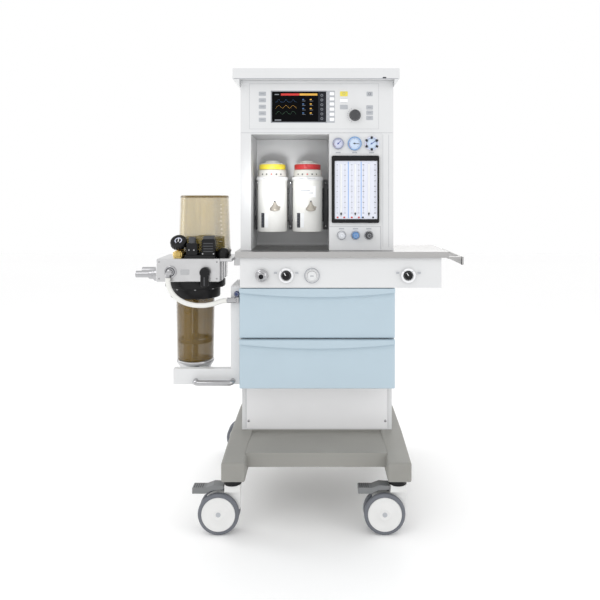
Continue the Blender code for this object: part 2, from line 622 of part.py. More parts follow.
def make_block_fittings():
    """Valves on top of the block, and the lever on its front."""
    low, front, back = BLOCK_TOP + GAP, -0.1880, -0.1600
    manifold = box("valve_manifold", (-0.3600, front, low), (-0.2615, back, 0.8310), "black_plastic",
                   bevel=0.002)
    join(manifold,
         box("sensor_block", (-0.3555, front + 0.001, 0.8250), (-0.3200, back - 0.001, 0.8700)),
         rod("sensor_cap", 0.0120, 0.8600, 0.8900, (-0.3380, -0.1740, 0), steps=12),
         box("valve_tower", (-0.3056, front + 0.001, 0.8250), (-0.2626, back - 0.001, 0.8830)),
         box("valve_tower_cap", (-0.3010, front + 0.002, 0.8800), (-0.2670, back - 0.002, 0.8940)))
    turned("expiratory_valve", [
        (0, 0.8530), (0.0084, 0.8510), (0.0150, 0.8470), (0.0190, 0.8400), (0.0205, 0.8380),
        (0.0205, low), (0, low)], (-0.2400, -0.1580, 0), "black_plastic", steps=14)
    x, y, z = -0.2928, BLOCK[2], 0.7770
    lever = turned("bag_vent_lever", [
        (0, 0.0220), (0.0130, 0.0215), (0.0165, 0.0180), (0.0171, GAP), (0, GAP)],
        (x, y, z), "black_plastic", FACE_FRONT, 14)
    join(lever, box("lever_arm", (x - 0.0130, y - 0.0200, 0.7290), (x + 0.0130, y - 0.0100, z)))


def make_block():
    """The metal block: hose elbow in front, breathing ports at the left, mounting plate at the right."""
    block = box("absorber_block", (BLOCK[0], BLOCK[2], BLOCK_BOTTOM), (BLOCK[1], BLOCK[3], BLOCK_TOP),
                "block_metal", bevel=0.0025)
    plate_right = -0.2075
    plate = box("mounting_plate", (BLOCK[1] - 0.003, BLOCK[2] + 0.005, 0.8105),
                (plate_right, BLOCK[3], BLOCK_TOP))
    bracket = box("apron_bracket", (plate_right - 0.003, -0.110, 0.7900),
                  (APRON[0] - GAP, -0.030, BLOCK_TOP - 0.0005))
    elbow = turned("hose_elbow", [
        (0, 0.0260), (0.0060, 0.0255), (0.0095, 0.0220), (0.0095, 0.0060), (0.0195, 0.0040),
        (0.0195, -0.002), (0, -0.002)], (-0.4050, BLOCK[2], 0.7780), face=FACE_FRONT, steps=14)
    spout = rod("elbow_spout", 0.0070, 0.7615, 0.7780, (HOSE_ROUTE[0][0], HOSE_ROUTE[0][1], 0), steps=12)
    ports, bores = [], []
    for tag, y, length in (("front", -0.150, 0.0753), ("rear", -0.040, HALF_WIDTH + BLOCK[0])):
        at = (BLOCK[0], y, 0.7660)
        ports.append(turned(f"port_{tag}", [
            (0, length), (0.0112, length), (0.0118, length * 0.45), (0.0160, length * 0.40),
            (0.0175, length * 0.22), (0.0225, length * 0.18), (0.0225, -0.004), (0, -0.004)],
            at, face=FACE_LEFT, steps=16))
        bores.append(rod(f"port_bore_{tag}", 0.0085, 0.010, length + 0.01, at, face=FACE_LEFT, steps=12))
    cut(join(block, plate, bracket, elbow, spout, *ports), *bores)


def make_canister():
    place = (CANISTER_X, CANISTER_Y, 0)
    top = BLOCK_BOTTOM - GAP
    turned("canister_collar", [
        (0, top), (0.0960, top), (0.1000, top - 0.004), (0.1000, 0.7220), (0.0960, 0.7190),
        (0.0830, 0.7180), (0.0830, 0.6880), (0.0800, 0.6840), (0, 0.6840)],
        place, "black_plastic", steps=20)
    rim, foot, wall = 0.6837, 0.4750, 0.003
    turned("absorber_canister", [
        (0.0610, rim), (0.0640, rim), (0.0610, foot + 0.003), (0.0580, foot), (0, foot),
        (0, foot + wall), (0.0575, foot + wall), (0.0610, rim)], place, "amber_clear", steps=20)
    turned("canister_cup", [
        (0, foot - GAP), (0.0600, foot - GAP), (0.0620, foot - 0.004), (0.0610, foot - 0.012),
        (0.0520, 0.4480), (0.0500, 0.4300), (0.0300, 0.4240), (0.0300, 0.4143), (0, 0.4143)],
        place, "block_metal", steps=20)


def make_arm():
    """The L-shaped support: a channel down the side, a beam across the front, a shelf under the cup."""
    arm = box("support_arm", (ARM[0], ARM_FRONT, BEAM_BOTTOM), (ARM[1], ARM_BACK, ARM_TOP),
              "housing_white", bevel=0.0015)
    wall, inset = 0.003, 0.0002
    beam = box("beam", (BEAM_LEFT, ARM_FRONT + inset, BEAM_BOTTOM + inset),
               (ARM[0] + 0.01, BEAM_BACK, BEAM_TOP))
    shelf = box("cup_shelf", (CANISTER_X - 0.030, CANISTER_Y - 0.030, BEAM_BOTTOM + inset),
                (ARM[0] + 0.01, CANISTER_Y + 0.030, 0.4143 - GAP))
    hollows = [
        box("beam_hollow", (BEAM_LEFT + wall, ARM_FRONT + wall, 0.3), (ARM[0] - 0.001, BEAM_BACK - wall,
                                                                      BEAM_TOP - wall)),
        box("arm_hollow", (ARM[0] + wall, ARM_FRONT + wall, BEAM_BOTTOM + wall + 0.001),
            (ARM[1] - wall, 0.1, ARM_TOP - wall)),
    ]
    cut(join(arm, beam, shelf), *hollows)
    reach, z, radius, corner = 0.026, 0.4225, 0.0085, 0.010
    left, right, y = -0.3262, -0.2060, ARM_FRONT - GAP
    bar = [(left, y, z), (left, y - reach + corner, z), (left + corner, y - reach, z),
           (right - corner, y - reach, z), (right, y - reach + corner, z), (right, y, z)]
    tube("tray_handle", bar, radius, "chrome", 2)
    connector = box("arm_connector", (-0.2115, -0.1870, 0.6770), (-0.1845, ARM_FRONT - GAP, 0.6955),
                    "chrome", bevel=0.001)
    barrel = rod("connector_barrel", 0.0085, 0.0, 0.0285, (-0.1935, -0.1905, 0.6862), face=FACE_LEFT,
                 steps=12)
    join(connector, barrel)


def make_breathing_group():
    make_block()
    make_bellows()
    make_relief_valve()
    make_block_fittings()
    make_canister()
    make_arm()
    tube("fresh_gas_hose", smooth_points(HOSE_ROUTE, 2), HOSE_RADIUS, "hose_white", 3)


make_base_group()
make_lower_group()
make_table_group()
make_upper_group()
make_breathing_group()
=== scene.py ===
from math import cos, pi, radians, sin, tau

import bmesh
import bpy
from mathutils import Matrix, Vector


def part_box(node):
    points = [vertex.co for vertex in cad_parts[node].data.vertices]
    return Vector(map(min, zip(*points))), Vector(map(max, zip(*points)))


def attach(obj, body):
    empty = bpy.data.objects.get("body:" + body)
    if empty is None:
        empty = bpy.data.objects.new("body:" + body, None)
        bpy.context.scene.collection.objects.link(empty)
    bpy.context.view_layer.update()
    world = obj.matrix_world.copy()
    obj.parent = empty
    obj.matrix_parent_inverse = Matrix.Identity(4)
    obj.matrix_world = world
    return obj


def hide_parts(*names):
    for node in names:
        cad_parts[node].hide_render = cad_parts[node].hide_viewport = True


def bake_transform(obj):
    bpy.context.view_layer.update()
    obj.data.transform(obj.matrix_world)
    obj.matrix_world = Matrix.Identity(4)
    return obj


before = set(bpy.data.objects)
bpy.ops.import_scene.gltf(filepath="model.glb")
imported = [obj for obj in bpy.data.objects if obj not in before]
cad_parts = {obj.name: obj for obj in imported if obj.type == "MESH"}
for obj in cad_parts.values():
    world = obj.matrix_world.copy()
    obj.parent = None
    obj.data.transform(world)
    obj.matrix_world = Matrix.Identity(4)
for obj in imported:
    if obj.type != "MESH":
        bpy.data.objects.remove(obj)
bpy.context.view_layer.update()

UP = Matrix.Identity(4)
FRONT = Matrix.Rotation(radians(90), 4, "X")      # +Z turns to -Y
BACK = Matrix.Rotation(radians(-90), 4, "X")      # +Z turns to +Y
LEFT = Matrix.Rotation(radians(-90), 4, "Y")      # +Z turns to -X
ABOUT = Matrix.Rotation(pi, 4, "Z")                    # -Y turns to +Y
SUNK = 0.0003                                          # how deep a fitted part's back lies in its seat
LOOKS = {}


# ---- camera, light, floor ----
def make_camera():
    data = bpy.data.cameras.new("camera")
    camera = bpy.data.objects.new("camera", data)
    bpy.context.scene.collection.objects.link(camera)
    camera.location = (0.0705, -2.2, 1.02)
    camera.rotation_euler = (radians(90), 0, 0)
    data.sensor_width, data.lens = 36, 37.4
    data.shift_x, data.shift_y = -0.03, -0.172
    bpy.context.scene.camera = camera


def area_light(name, place, target, size, power):
    data = bpy.data.lights.new(name, "AREA")
    data.shape, data.size, data.size_y = "RECTANGLE", size[0], size[1]
    data.energy = power
    lamp = bpy.data.objects.new(name, data)
    bpy.context.scene.collection.objects.link(lamp)
    lamp.location = place
    lamp.rotation_euler = (Vector(target) - Vector(place)).to_track_quat("-Z", "Y").to_euler()
    return lamp


def make_stage():
    world = bpy.data.worlds.new("studio")
    world.use_nodes = True
    sky = world.node_tree.nodes["Background"]
    sky.inputs["Color"].default_value = (1.0, 1.0, 1.0, 1)
    sky.inputs["Strength"].default_value = 1.0
    bpy.context.scene.world = world
    bpy.context.scene.view_settings.view_transform = "Standard"
    area_light("key", (-1.6, -2.4, 2.7), (0, 0, 0.9), (1.4, 1.4), 9)
    area_light("fill", (2.3, -1.8, 1.5), (0, 0, 0.8), (1.2, 2.0), 6.5)
    area_light("rim_left", (-1.7, 0.3, 1.3), (-0.3, -0.1, 0.9), (0.35, 1.6), 6)
    area_light("back", (0.6, 2.6, 2.2), (0, 0, 0.9), (1.6, 1.2), 10)
    bay = area_light("bay", (-0.06, -0.62, 0.98), (-0.06, 0.05, 1.09), (0.1, 0.1), 0.09)
    bay.data.spread = radians(32)
    floor = bpy.data.meshes.new("floor")
    far = 9
    floor.from_pydata([(-far, -far, 0), (far, -far, 0), (far, far, 0), (-far, far, 0)], [],
                      [(0, 1, 2, 3)])
    ground = bpy.data.objects.new("floor", floor)
    bpy.context.scene.collection.objects.link(ground)
    floor.materials.append(LOOKS["floor"])


# ---- materials ----
def rgb(red, green, blue):
    """A display colour, 0 to 255, as linear light."""
    return tuple(((c / 255 + 0.055) / 1.055) ** 2.4 for c in (red, green, blue))


def finish(name, display, rough, drift, grain=0.05, metallic=0.0, scale=9.0, fine=900.0,
           stretch=(1, 1, 1), coat=0.0, alpha=1.0, glow=0.0, spread=0.12, shine=0.5):
    """A surface whose colour drifts slowly and whose roughness and bump follow a fine grain.

    Its display colour varies by the share drift; grain is the strength of the bump.
    """
    colour = rgb(*display)
    made = bpy.data.materials.new("look_" + name)
    made.use_nodes = True
    nodes, link = made.node_tree.nodes, made.node_tree.links.new
    shader = nodes["Principled BSDF"]
    where, mapping = nodes.new("ShaderNodeTexCoord"), nodes.new("ShaderNodeMapping")
    mapping.inputs["Scale"].default_value = stretch
    link(where.outputs["Object"], mapping.inputs["Vector"])
    broad, small = nodes.new("ShaderNodeTexNoise"), nodes.new("ShaderNodeTexNoise")
    broad.inputs["Scale"].default_value, broad.inputs["Detail"].default_value = scale, 3
    small.inputs["Scale"].default_value, small.inputs["Detail"].default_value = fine, 4
    link(mapping.outputs["Vector"], broad.inputs["Vector"])
    link(mapping.outputs["Vector"], small.inputs["Vector"])
    ramp = nodes.new("ShaderNodeValToRGB")
    for element, place, share in zip(ramp.color_ramp.elements, (0.3, 0.7), (1 - drift, 1 + drift)):
        element.position = place
        element.color = (*(min(1, c * share) for c in colour), 1)
    link(broad.outputs["Fac"], ramp.inputs["Fac"])
    link(ramp.outputs["Color"], shader.inputs["Base Color"])
    span = nodes.new("ShaderNodeMapRange")
    for socket, value in (("From Min", 0.3), ("From Max", 0.7), ("To Min", rough * (1 - spread)),
                          ("To Max", rough * (1 + spread))):
        span.inputs[socket].default_value = value
    link(small.outputs["Fac"], span.inputs["Value"])
    link(span.outputs["Result"], shader.inputs["Roughness"])
    bump = nodes.new("ShaderNodeBump")
    bump.inputs["Strength"].default_value, bump.inputs["Distance"].default_value = grain, 0.0005
    link(small.outputs["Fac"], bump.inputs["Height"])
    link(bump.outputs["Normal"], shader.inputs["Normal"])
    shader.inputs["Metallic"].default_value = metallic
    shader.inputs["Coat Weight"].default_value = coat
    shader.inputs["Specular IOR Level"].default_value = shine
    shader.inputs["Alpha"].default_value = alpha
    if glow:
        shader.inputs["Emission Color"].default_value = (*colour, 1)
        shader.inputs["Emission Strength"].default_value = glow
    LOOKS[name] = made


def make_looks():
    """The record's slots first, then the finishes of small details."""
    finish("housing_white", (221, 222, 223), 0.38, 0.012, 0.1, coat=0.15)
    finish("cabinet_white", (222, 223, 224), 0.42, 0.012, 0.12)
    finish("panel_grey", (236, 236, 237), 0.42, 0.012, 0.12)
    finish("drawer_blue", (182, 200, 211), 0.4, 0.012, 0.12, coat=0.1)
    finish("base_grey", (146, 145, 140), 0.5, 0.03, 0.3, fine=1400)
    finish("stainless", (182, 181, 180), 0.34, 0.05, 0.3, metallic=1.0, scale=40, fine=1500,
           stretch=(0.02, 1, 1), spread=0.25)
    finish("chrome", (178, 178, 180), 0.14, 0.03, 0.03, metallic=1.0, scale=60, fine=500)
    finish("block_metal", (206, 206, 207), 0.34, 0.04, 0.12, metallic=1.0, scale=30, fine=2200)
    finish("black_plastic", (16, 16, 18), 0.34, 0.12, 0.15, fine=1800, shine=0.28)
    finish("dark_grey_plastic", (66, 67, 70), 0.42, 0.06, 0.15, fine=1800)
    finish("pedal_grey", (120, 122, 123), 0.48, 0.05, 0.25, fine=1500)
    # The clear dome's colour is drawn in strong upright bands of lighter and darker amber: painted
    # highlight and painted shade streaks that stand for the dome's vertical reflections.
    finish("amber_clear", (188, 166, 96), 0.08, 0.5, 0.02, scale=34, fine=120, stretch=(1, 1, 0.02),
           alpha=0.28, coat=0.3)
    finish("canister_amber", (122, 94, 18), 0.09, 0.28, 0.02, scale=30, fine=120, stretch=(1, 1, 0.02),
           alpha=0.5, coat=0.6)
    finish("tyre_grey", (106, 109, 116), 0.58, 0.06, 0.35, fine=1600)
    finish("caster_white", (226, 226, 225), 0.38, 0.02, 0.08)
    finish("screen_glass", (5, 5, 8), 0.12, 0.15, 0.01, scale=14, shine=0.06)
    finish("flow_panel_clear", (226, 229, 241), 0.14, 0.02, 0.02, scale=30, coat=0.5)
    finish("gauge_grey", (158, 163, 182), 0.32, 0.05, 0.06, metallic=0.35)
    finish("gauge_blue", (124, 164, 210), 0.3, 0.05, 0.06)
    finish("gauge_black", (26, 28, 34), 0.34, 0.1, 0.08)
    finish("vaporizer_cream", (228, 228, 225), 0.34, 0.02, 0.08, coat=0.2)
    finish("dial_yellow", (222, 204, 62), 0.34, 0.05, 0.08)
    finish("dial_red", (186, 44, 48), 0.34, 0.06, 0.08)
    finish("knob_clear", (222, 225, 230), 0.18, 0.03, 0.03, coat=0.4)
    finish("knob_blue", (96, 142, 196), 0.28, 0.04, 0.05)
    finish("brass", (196, 170, 106), 0.24, 0.05, 0.08, metallic=1.0, fine=1500)
    finish("hose_white", (232, 232, 228), 0.42, 0.02, 0.12, fine=700)
    finish("bellows_black", (12, 12, 13), 0.55, 0.1, 0.25, fine=1200, shine=0.15)
    finish("floor", (255, 255, 255), 0.6, 0.004, 0.02, scale=1.5, fine=60)
    finish("label_white", (246, 247, 249), 0.5, 0.01, 0.03)
    finish("block_plate", (188, 189, 191), 0.3, 0.04, 0.08, metallic=0.8)
    finish("face_lavender", (214, 218, 238), 0.4, 0.02, 0.03)
    finish("face_blue", (206, 222, 242), 0.4, 0.02, 0.03)
    finish("head_grey", (206, 205, 200), 0.36, 0.02, 0.08)
    finish("filler_beige", (172, 166, 156), 0.3, 0.04, 0.1, metallic=0.45)
    finish("sight_glass", (236, 238, 240), 0.08, 0.02, 0.01, scale=60, coat=0.8)
    finish("ink_dark", (44, 46, 54), 0.5, 0.05, 0.02)
    finish("ink_grey", (150, 153, 160), 0.5, 0.03, 0.02)
    finish("ink_blue", (136, 178, 232), 0.45, 0.04, 0.02)
    finish("needle_blue", (64, 82, 156), 0.4, 0.04, 0.02)
    finish("ink_red", (196, 60, 58), 0.45, 0.04, 0.02)
    finish("key_grey", (178, 181, 186), 0.45, 0.02, 0.05)
    finish("key_yellow", (232, 216, 84), 0.42, 0.04, 0.05)
    finish("seam_grey", (172, 174, 178), 0.6, 0.03, 0.05)
    finish("connector_blue", (40, 58, 108), 0.35, 0.08, 0.08)
    finish("glow_red", (190, 40, 34), 0.3, 0.1, scale=60, glow=0.25)
    finish("glow_yellow", (210, 160, 62), 0.3, 0.1, scale=60, glow=0.25)
    finish("glow_blue", (60, 96, 140), 0.3, 0.2, scale=60, glow=0.12)
    finish("glow_green", (70, 112, 84), 0.3, 0.2, scale=60, glow=0.1)
    finish("glow_grey", (132, 136, 142), 0.3, 0.08, scale=60, glow=0.1)
    finish("menu_grey", (40, 42, 48), 0.3, 0.1, scale=60, shine=0.1)
    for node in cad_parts.values():
        for entry in node.material_slots:
            entry.material = LOOKS[entry.material.name.split(".")[0]]


# ---- mesh building ----
class Piece:
    """Closed solids gathered into one mesh, each with its own finish."""

    def __init__(self, name):
        self.name, self.bm, self.used = name, bmesh.new(), []

    def add(self, verts, faces, look, turn=UP, at=(0, 0, 0)):
        if look not in self.used:
            self.used.append(look)
        made = [self.bm.verts.new(turn @ Vector(v) + Vector(at)) for v in verts]
        for face in faces:
            one = self.bm.faces.new([made[i] for i in face])
            one.material_index, one.smooth = self.used.index(look), True

    def rings(self, rings, look, turn=UP, at=(0, 0, 0), loop=False):
        """Joins rings of equal length; a ring of one point is a pole; open ends are capped."""
        verts, faces, places = [], [], []
        for ring in rings:
            places.append(range(len(verts), len(verts) + len(ring)))
            verts += ring
        pairs = list(zip(places, places[1:])) + ([(places[-1], places[0])] if loop else [])
        for one, two in pairs:
            count = max(len(one), len(two))
            for k in range(count):
                m = (k + 1) % count
                corners = [one[k % len(one)], one[m % len(one)], two[m % len(two)], two[k % len(two)]]
                if len(set(corners)) > 2:
                    faces.append(list(dict.fromkeys(corners)))
        if not loop:
            faces += [list(ring) for ring in (places[0], places[-1]) if len(ring) > 2]
        self.add(verts, faces, look, turn, at)

    def lathe(self, profile, at, look, turn=UP, steps=48, loop=False, flutes=0, depth=0.0, skip=0.0):
        """Turns (radius, height) pairs. Flutes cut grips into what is wider than skip."""
        rings = []
        for radius, height in profile:
            if radius < 1e-6:
                rings.append([(0, 0, height)])
                continue
            ring = []
            for k in range(steps):
                angle = tau * k / steps
                bite = depth * (0.5 + 0.5 * cos(flutes * angle)) if flutes and radius > skip else 0
                ring.append(((radius - bite) * cos(angle), (radius - bite) * sin(angle), height))
            rings.append(ring)
        self.rings(rings, look, turn, at, loop)

    def turned(self, profile, *where, **grips):
        """Lathes a profile that is given in millimetres."""
        self.lathe([(radius / 1000, height / 1000) for radius, height in profile], *where, **grips)

    def band(self, inner, outer, height, at, look):
        """A small printed ring that faces -Y."""
        self.lathe([(outer, 0), (outer, height), (inner, height), (inner, 0)],
                   at, look, FRONT, 24, loop=True)

    def plate(self, x, z, y, thick, look, radius=0.001, edge=0.0003, turn=UP, at=(0, 0, 0)):
        """A rounded rectangle across x and z that stands proud of y towards -Y, with softened edges."""
        (x0, x1), (z0, z1) = x, z
        radius = min(radius, (x1 - x0) / 2 - 1e-5, (z1 - z0) / 2 - 1e-5)
        rings = []
        for depth, inset in ((0, 0), (thick - edge, 0), (thick, edge)):
            ring = []
            for cx, cz, start in ((x1, z1, 0), (x0, z1, 90), (x0, z0, 180), (x1, z0, 270)):
                sx, sz = (1 if cx == x1 else -1), (1 if cz == z1 else -1)
                for step in range(5):
                    angle = radians(start + 22.5 * step)
                    reach = max(radius - inset, 1e-5)
                    ring.append((cx - sx * radius + reach * cos(angle), y - depth,
                                 cz - sz * radius + reach * sin(angle)))
            rings.append(ring)
        self.rings(rings, look, turn, at)

    def sweep(self, path, section, look, up=(0, -1, 0)):
        """Carries a (side, up) section along a path; up must not be along it."""
        path = [Vector(p) for p in path]
        rings = []
        for k, point in enumerate(path):
            ahead, behind = path[min(k + 1, len(path) - 1)], path[max(k - 1, 0)]
            along = (ahead - behind).normalized()
            side = along.cross(Vector(up)).normalized()
            lift = side.cross(along)
            rings.append([tuple(point + side * s + lift * t) for s, t in section])
        self.rings(rings, look)

    def stroke(self, points, width, y, look, thick=0.0003):
        """A flat line through (x, z) points on a surface that faces -Y."""
        self.sweep([(x, y, z) for x, z in points], strip(width / 2, 0, thick), look)

    def done(self, body, slot, *nodes, sharp=32):
        bmesh.ops.recalc_face_normals(self.bm, faces=self.bm.faces)
        mesh = bpy.data.meshes.new(self.name)
        self.bm.to_mesh(mesh)
        self.bm.free()
        for look in self.used:
            mesh.materials.append(LOOKS[look])
        mesh.set_sharp_from_angle(angle=radians(sharp))
        made = bpy.data.objects.new(self.name, mesh)
        bpy.context.scene.collection.objects.link(made)
        if nodes:
            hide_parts(*nodes)
        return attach(made, body) if body else made


def circle(radius, steps=16):
    return [(radius * cos(tau * k / steps), radius * sin(tau * k / steps)) for k in range(steps)]


def strip(half, low, high):
    """A rectangular section for a sweep."""
    return [(-half, low), (half, low), (half, high), (-half, high)]


def middle(node):
    low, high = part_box(node)
    return (low + high) / 2


def seat_of(node):
    """The middle of the back of a node that faces -Y, just inside what carries it."""
    low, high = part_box(node)
    return Vector(((low.x + high.x) / 2, high.y + SUNK, (low.z + high.z) / 2))


def spline(route, steps):
    """Catmull-Rom points through a route."""
    route = [Vector(p) for p in route]
    ends = [2 * route[0] - route[1], *route, 2 * route[-1] - route[-2]]
    points = []
    for a, b, c, d in zip(ends, ends[1:], ends[2:], ends[3:]):
        square, cube = 2 * a - 5 * b + 4 * c - d, 3 * b - a - 3 * c + d
        for step in range(steps):
            t = step / steps
            points.append(0.5 * (2 * b + (c - a) * t + square * t ** 2 + cube * t ** 3))
    return points + [route[-1]]


# ---- the fresh gas hose ----
def make_hose():
    route = [
        (-0.4095, -0.2075, 0.7608), (-0.4092, -0.2076, 0.746), (-0.404, -0.208, 0.7265),
        (-0.3925, -0.2085, 0.708), (-0.3745, -0.2088, 0.692), (-0.351, -0.2085, 0.68),
        (-0.323, -0.2065, 0.6732), (-0.293, -0.2025, 0.672), (-0.264, -0.1972, 0.6765),
        (-0.242, -0.1918, 0.6835), (-0.2238, -0.1905, 0.6862),
    ]
    points = spline(route, 6)
    curve = bpy.data.curves.new("gas_hose", "CURVE")
    curve.dimensions, curve.bevel_depth, curve.bevel_resolution = "3D", 0.0078, 6
    curve.use_fill_caps = True
    line = curve.splines.new("POLY")
    line.points.add(len(points) - 1)
    for spot, point in zip(line.points, points):
        spot.co = (*point, 1)
    line.use_smooth = True
    curve.materials.append(LOOKS["hose_white"])
    hose = bpy.data.objects.new("gas_hose", curve)
    bpy.context.scene.collection.objects.link(hose)
    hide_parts("fresh_gas_hose")
    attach(hose, "chassis")


# ---- casters ----
def make_casters():
    for tag in ("front_left", "front_right", "rear_left", "rear_right"):
        node = f"caster_{tag}_wheels"
        low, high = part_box(node)
        axle, rim, edge = middle(node), (high.z - low.z) / 2, (high.y - low.y) / 2
        wheel = Piece(f"wheel_{tag}")
        for turn in (FRONT, BACK):
            tread = [
                (0.0515, 0.0105), (rim - 0.0045, 0.0086), (rim - 0.0012, 0.0102), (rim, 0.013),
                (rim, 0.019), (rim - 0.001, 0.0218), (rim - 0.004, edge - 0.0018),
                (0.0535, edge - 0.0008), (0.0515, edge - 0.002)
            ]
            wheel.lathe(tread, axle, "tyre_grey", turn, 56, loop=True)
            cover = [
                (0, 0.0085), (0.0513, 0.0085), (0.0515, edge - 0.003), (0.0505, edge - 0.0008),
                (0.048, edge - 0.0004), (0.044, edge - 0.0018), (0.024, edge - 0.003),
                (0.02, edge - 0.0012), (0.015, edge - 0.0004), (0.014, edge - 0.001), (0, edge - 0.001)
            ]
            wheel.lathe(cover, axle, "caster_white", turn, 56)
            wheel.lathe([
                (0, edge - 0.0012), (0.0075, edge - 0.0012), (0.007, edge - 0.0002), (0.005, edge),
                (0, edge)
            ], axle, "key_grey", turn, 28)
        wheel.turned([(0, 8.7), (5.8, 8.7), (5.8, -8.7), (0, -8.7)], axle, "chrome", FRONT, 20)
        wheel.done(f"wheels_{tag}", "tyre_grey", node)
        stem = middle(f"caster_{tag}_housing")
        stem.x, stem.z = axle.x + 0.041, 0.0
        collar = Piece(f"caster_collar_{tag}")
        collar.turned([
            (22.8, 167.6), (25, 167.2), (25.6, 165.5), (25.6, 153), (27.2, 150.5), (27.2, 149),
            (22.8, 149)
        ], stem, "black_plastic", loop=True)
        collar.done(f"caster_{tag}", "black_plastic")
    for side in ("left", "right"):
        low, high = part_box(f"brake_pedal_front_{side}")
        ribs = Piece(f"pedal_ribs_{side}")
        for k in range(5):
            x = low.x + 0.006 + 0.0062 * k
            bar = [(x, low.y + 0.004, high.z - 0.0081), (x, high.y - 0.004, high.z - 0.0081)]
            ribs.sweep(bar, circle(0.0014, 10), "dark_grey_plastic", up=(0, 0, 1))
        ribs.done(f"pedal_front_{side}", "pedal_grey")


# ---- lower cabinet and apron ----
def screw(piece, x, z, y, radius=0.0042, turn=FRONT):
    """A pan-head screw with a round recess."""
    ring = [
        (radius, 0.0), (radius, 0.001), (radius * 0.72, 0.0022), (radius * 0.5, 0.0025),
        (radius * 0.44, 0.0012), (0, 0.001)
    ]
    piece.lathe([(0, 0.0), *ring], (x, y, z), "chrome", turn, 24)


def rear_slots(piece, spans, lowest, rows, height, at):
    """Rows of ventilation slots on a cover that faces +Y."""
    for row in range(rows):
        z = lowest + 0.014 * row
        for span in spans:
            piece.plate(span, (z, z + height), -0.0022, 0.0012, "seam_grey", 0.0026, 0.0005, ABOUT, at)


def rear_screws(piece, reach, heights, at):
    """Pan-head screws down both edges of a cover that faces +Y."""
    for side in (-reach, reach):
        for z in heights:
            piece.turned([(0, 2), (4.2, 2), (4.2, 3), (2.8, 4.2), (1.8, 3), (0, 3)],
                         (at[0] + side, at[1], z), "chrome", BACK, 20)


def make_lower_details():
    low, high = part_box("lower_front_panel")
    fixings = Piece("panel_screws")
    for x in (low.x + 0.009, high.x - 0.009):
        screw(fixings, x, 0.2715, low.y)
        screw(fixings, x, high.z - 0.012, low.y)
    fixings.done("chassis", "chrome")
    shell_low, shell_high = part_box("lower_cabinet")
    seams = Piece("cabinet_seams")
    for x in (low.x + 0.0008, high.x - 0.0008):
        seams.stroke([(x, low.z + 0.001), (x, high.z - 0.001)], 0.001, low.y, "seam_grey")
    seams.done("chassis", "panel_grey")
    back = Piece("rear_service_cover")
    at = ((shell_low.x + shell_high.x) / 2, shell_high.y, 0)
    back.plate((-0.215, 0.215), (0.29, 0.69), 0, 0.0022, "cabinet_white", 0.012, 0.0008, ABOUT, at)
    rear_slots(back, ((-0.13, -0.02), (0.02, 0.13)), 0.33, 12, 0.0052, at)
    rear_screws(back, 0.203, (0.302, 0.49, 0.678), at)
    back.done("chassis", "cabinet_white")


def pointer_knob(name, body, slot, node, length, radius, turn_deg):
    """A round control knob with a fluted skirt and a white pointer line."""
    at = seat_of(node)
    made = Piece(name)
    made.lathe([
        (0, length), (radius * 0.66, length), (radius * 0.78, length - 0.0006),
        (radius * 0.84, length - 0.002), (radius * 0.92, length * 0.42), (radius, length * 0.22),
        (radius * 1.04, length * 0.16), (radius * 1.04, 0.0004), (0, 0.0004)
    ], at, slot, FRONT, 72, flutes=24, depth=radius * 0.045, skip=radius * 0.8)
    spin = radians(turn_deg)
    ends = [(at.x + reach * sin(spin), at.z + reach * cos(spin))
            for reach in (radius * 0.1, radius * 0.74)]
    made.stroke(ends, 0.0022, at.y - length, "label_white", 0.0003)
    made.done(body, slot, node)


def make_apron_details():
    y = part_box("control_apron")[0].y
    pointer_knob("mode_knob_grip", "mode_knob", "black_plastic", "mode_knob", 0.02, 0.0155, -28)
    pointer_knob("power_knob_grip", "power_knob", "black_plastic", "power_knob", 0.018, 0.0148, -35)
    button = middle("flush_button")
    press = Piece("flush_button_cap")
    press.turned([
        (0, 8.8), (7, 9.2), (11, 9.9), (13, 9.8), (14.6, 8.6), (14.9, 6.8), (14.9, -11.9), (0, -11.9)
    ], (button.x, y, button.z), "housing_white", FRONT)
    z_span = (button.z - 0.0018, button.z + 0.0018)
    for x_span in ((button.x - 0.005, button.x - 0.0008), (button.x + 0.0008, button.x + 0.005)):
        press.plate(x_span, z_span, y - 0.0086, 0.0007, "ink_grey", 0.0008)
    press.done("flush_button", "housing_white", "flush_button")
    marks = Piece("apron_marks")
    for node, radius in (("mode_knob", 0.0172), ("power_knob", 0.0166)):
        spot = middle(node)
        marks.lathe([
            (radius, 0.0), (radius + 0.0062, 0.0), (radius + 0.0062, 0.0006), (radius + 0.0056, 0.0009),
            (radius, 0.0009)
        ], (spot.x, y, spot.z), "label_white", FRONT, 48, loop=True)
        for angle in (-45, 45):
            turn = radians(angle)
            ends = [(spot.x + reach * sin(turn), spot.z + reach * cos(turn))
                    for reach in (radius + 0.0015, radius + 0.005)]
            marks.stroke(ends, 0.0011, y - 0.0008, "ink_dark")
        for x in (spot.x - 0.039, spot.x + 0.029):
            marks.plate((x, x + 0.01), (spot.z + 0.006, spot.z + 0.012), y, 0.0005, "key_grey")
    marks.turned([(22.6, 0), (24.6, 0), (24.4, 0.7), (22.8, 0.7)],
                 (button.x, y, button.z), "ink_grey", FRONT, 48, loop=True)
    marks.done("chassis", "housing_white")
    outlet = middle("gas_outlet")
    port = Piece("gas_outlet_port")
    port.turned([
        (7.6, 29.8), (10.4, 30), (11.2, 29), (11.4, 26.2), (12.2, 25.6), (12.2, 14), (14.8, 12.8),
        (16.6, 11), (17, 7), (20, 5.8), (20.5, 5), (20.5, 0.4), (7.4, 0.4)
    ], (outlet.x, y, outlet.z), "chrome", FRONT, 56, loop=True)
    # The dark plug down the outlet's bore is painted shade: a dark disc where only the shade inside the
    # port falls.
    port.turned([(0, 12), (7.3, 11.8), (7.3, 5), (0, 5)], (outlet.x, y, outlet.z), "ink_dark", FRONT)
    port.done("chassis", "chrome", "gas_outlet")


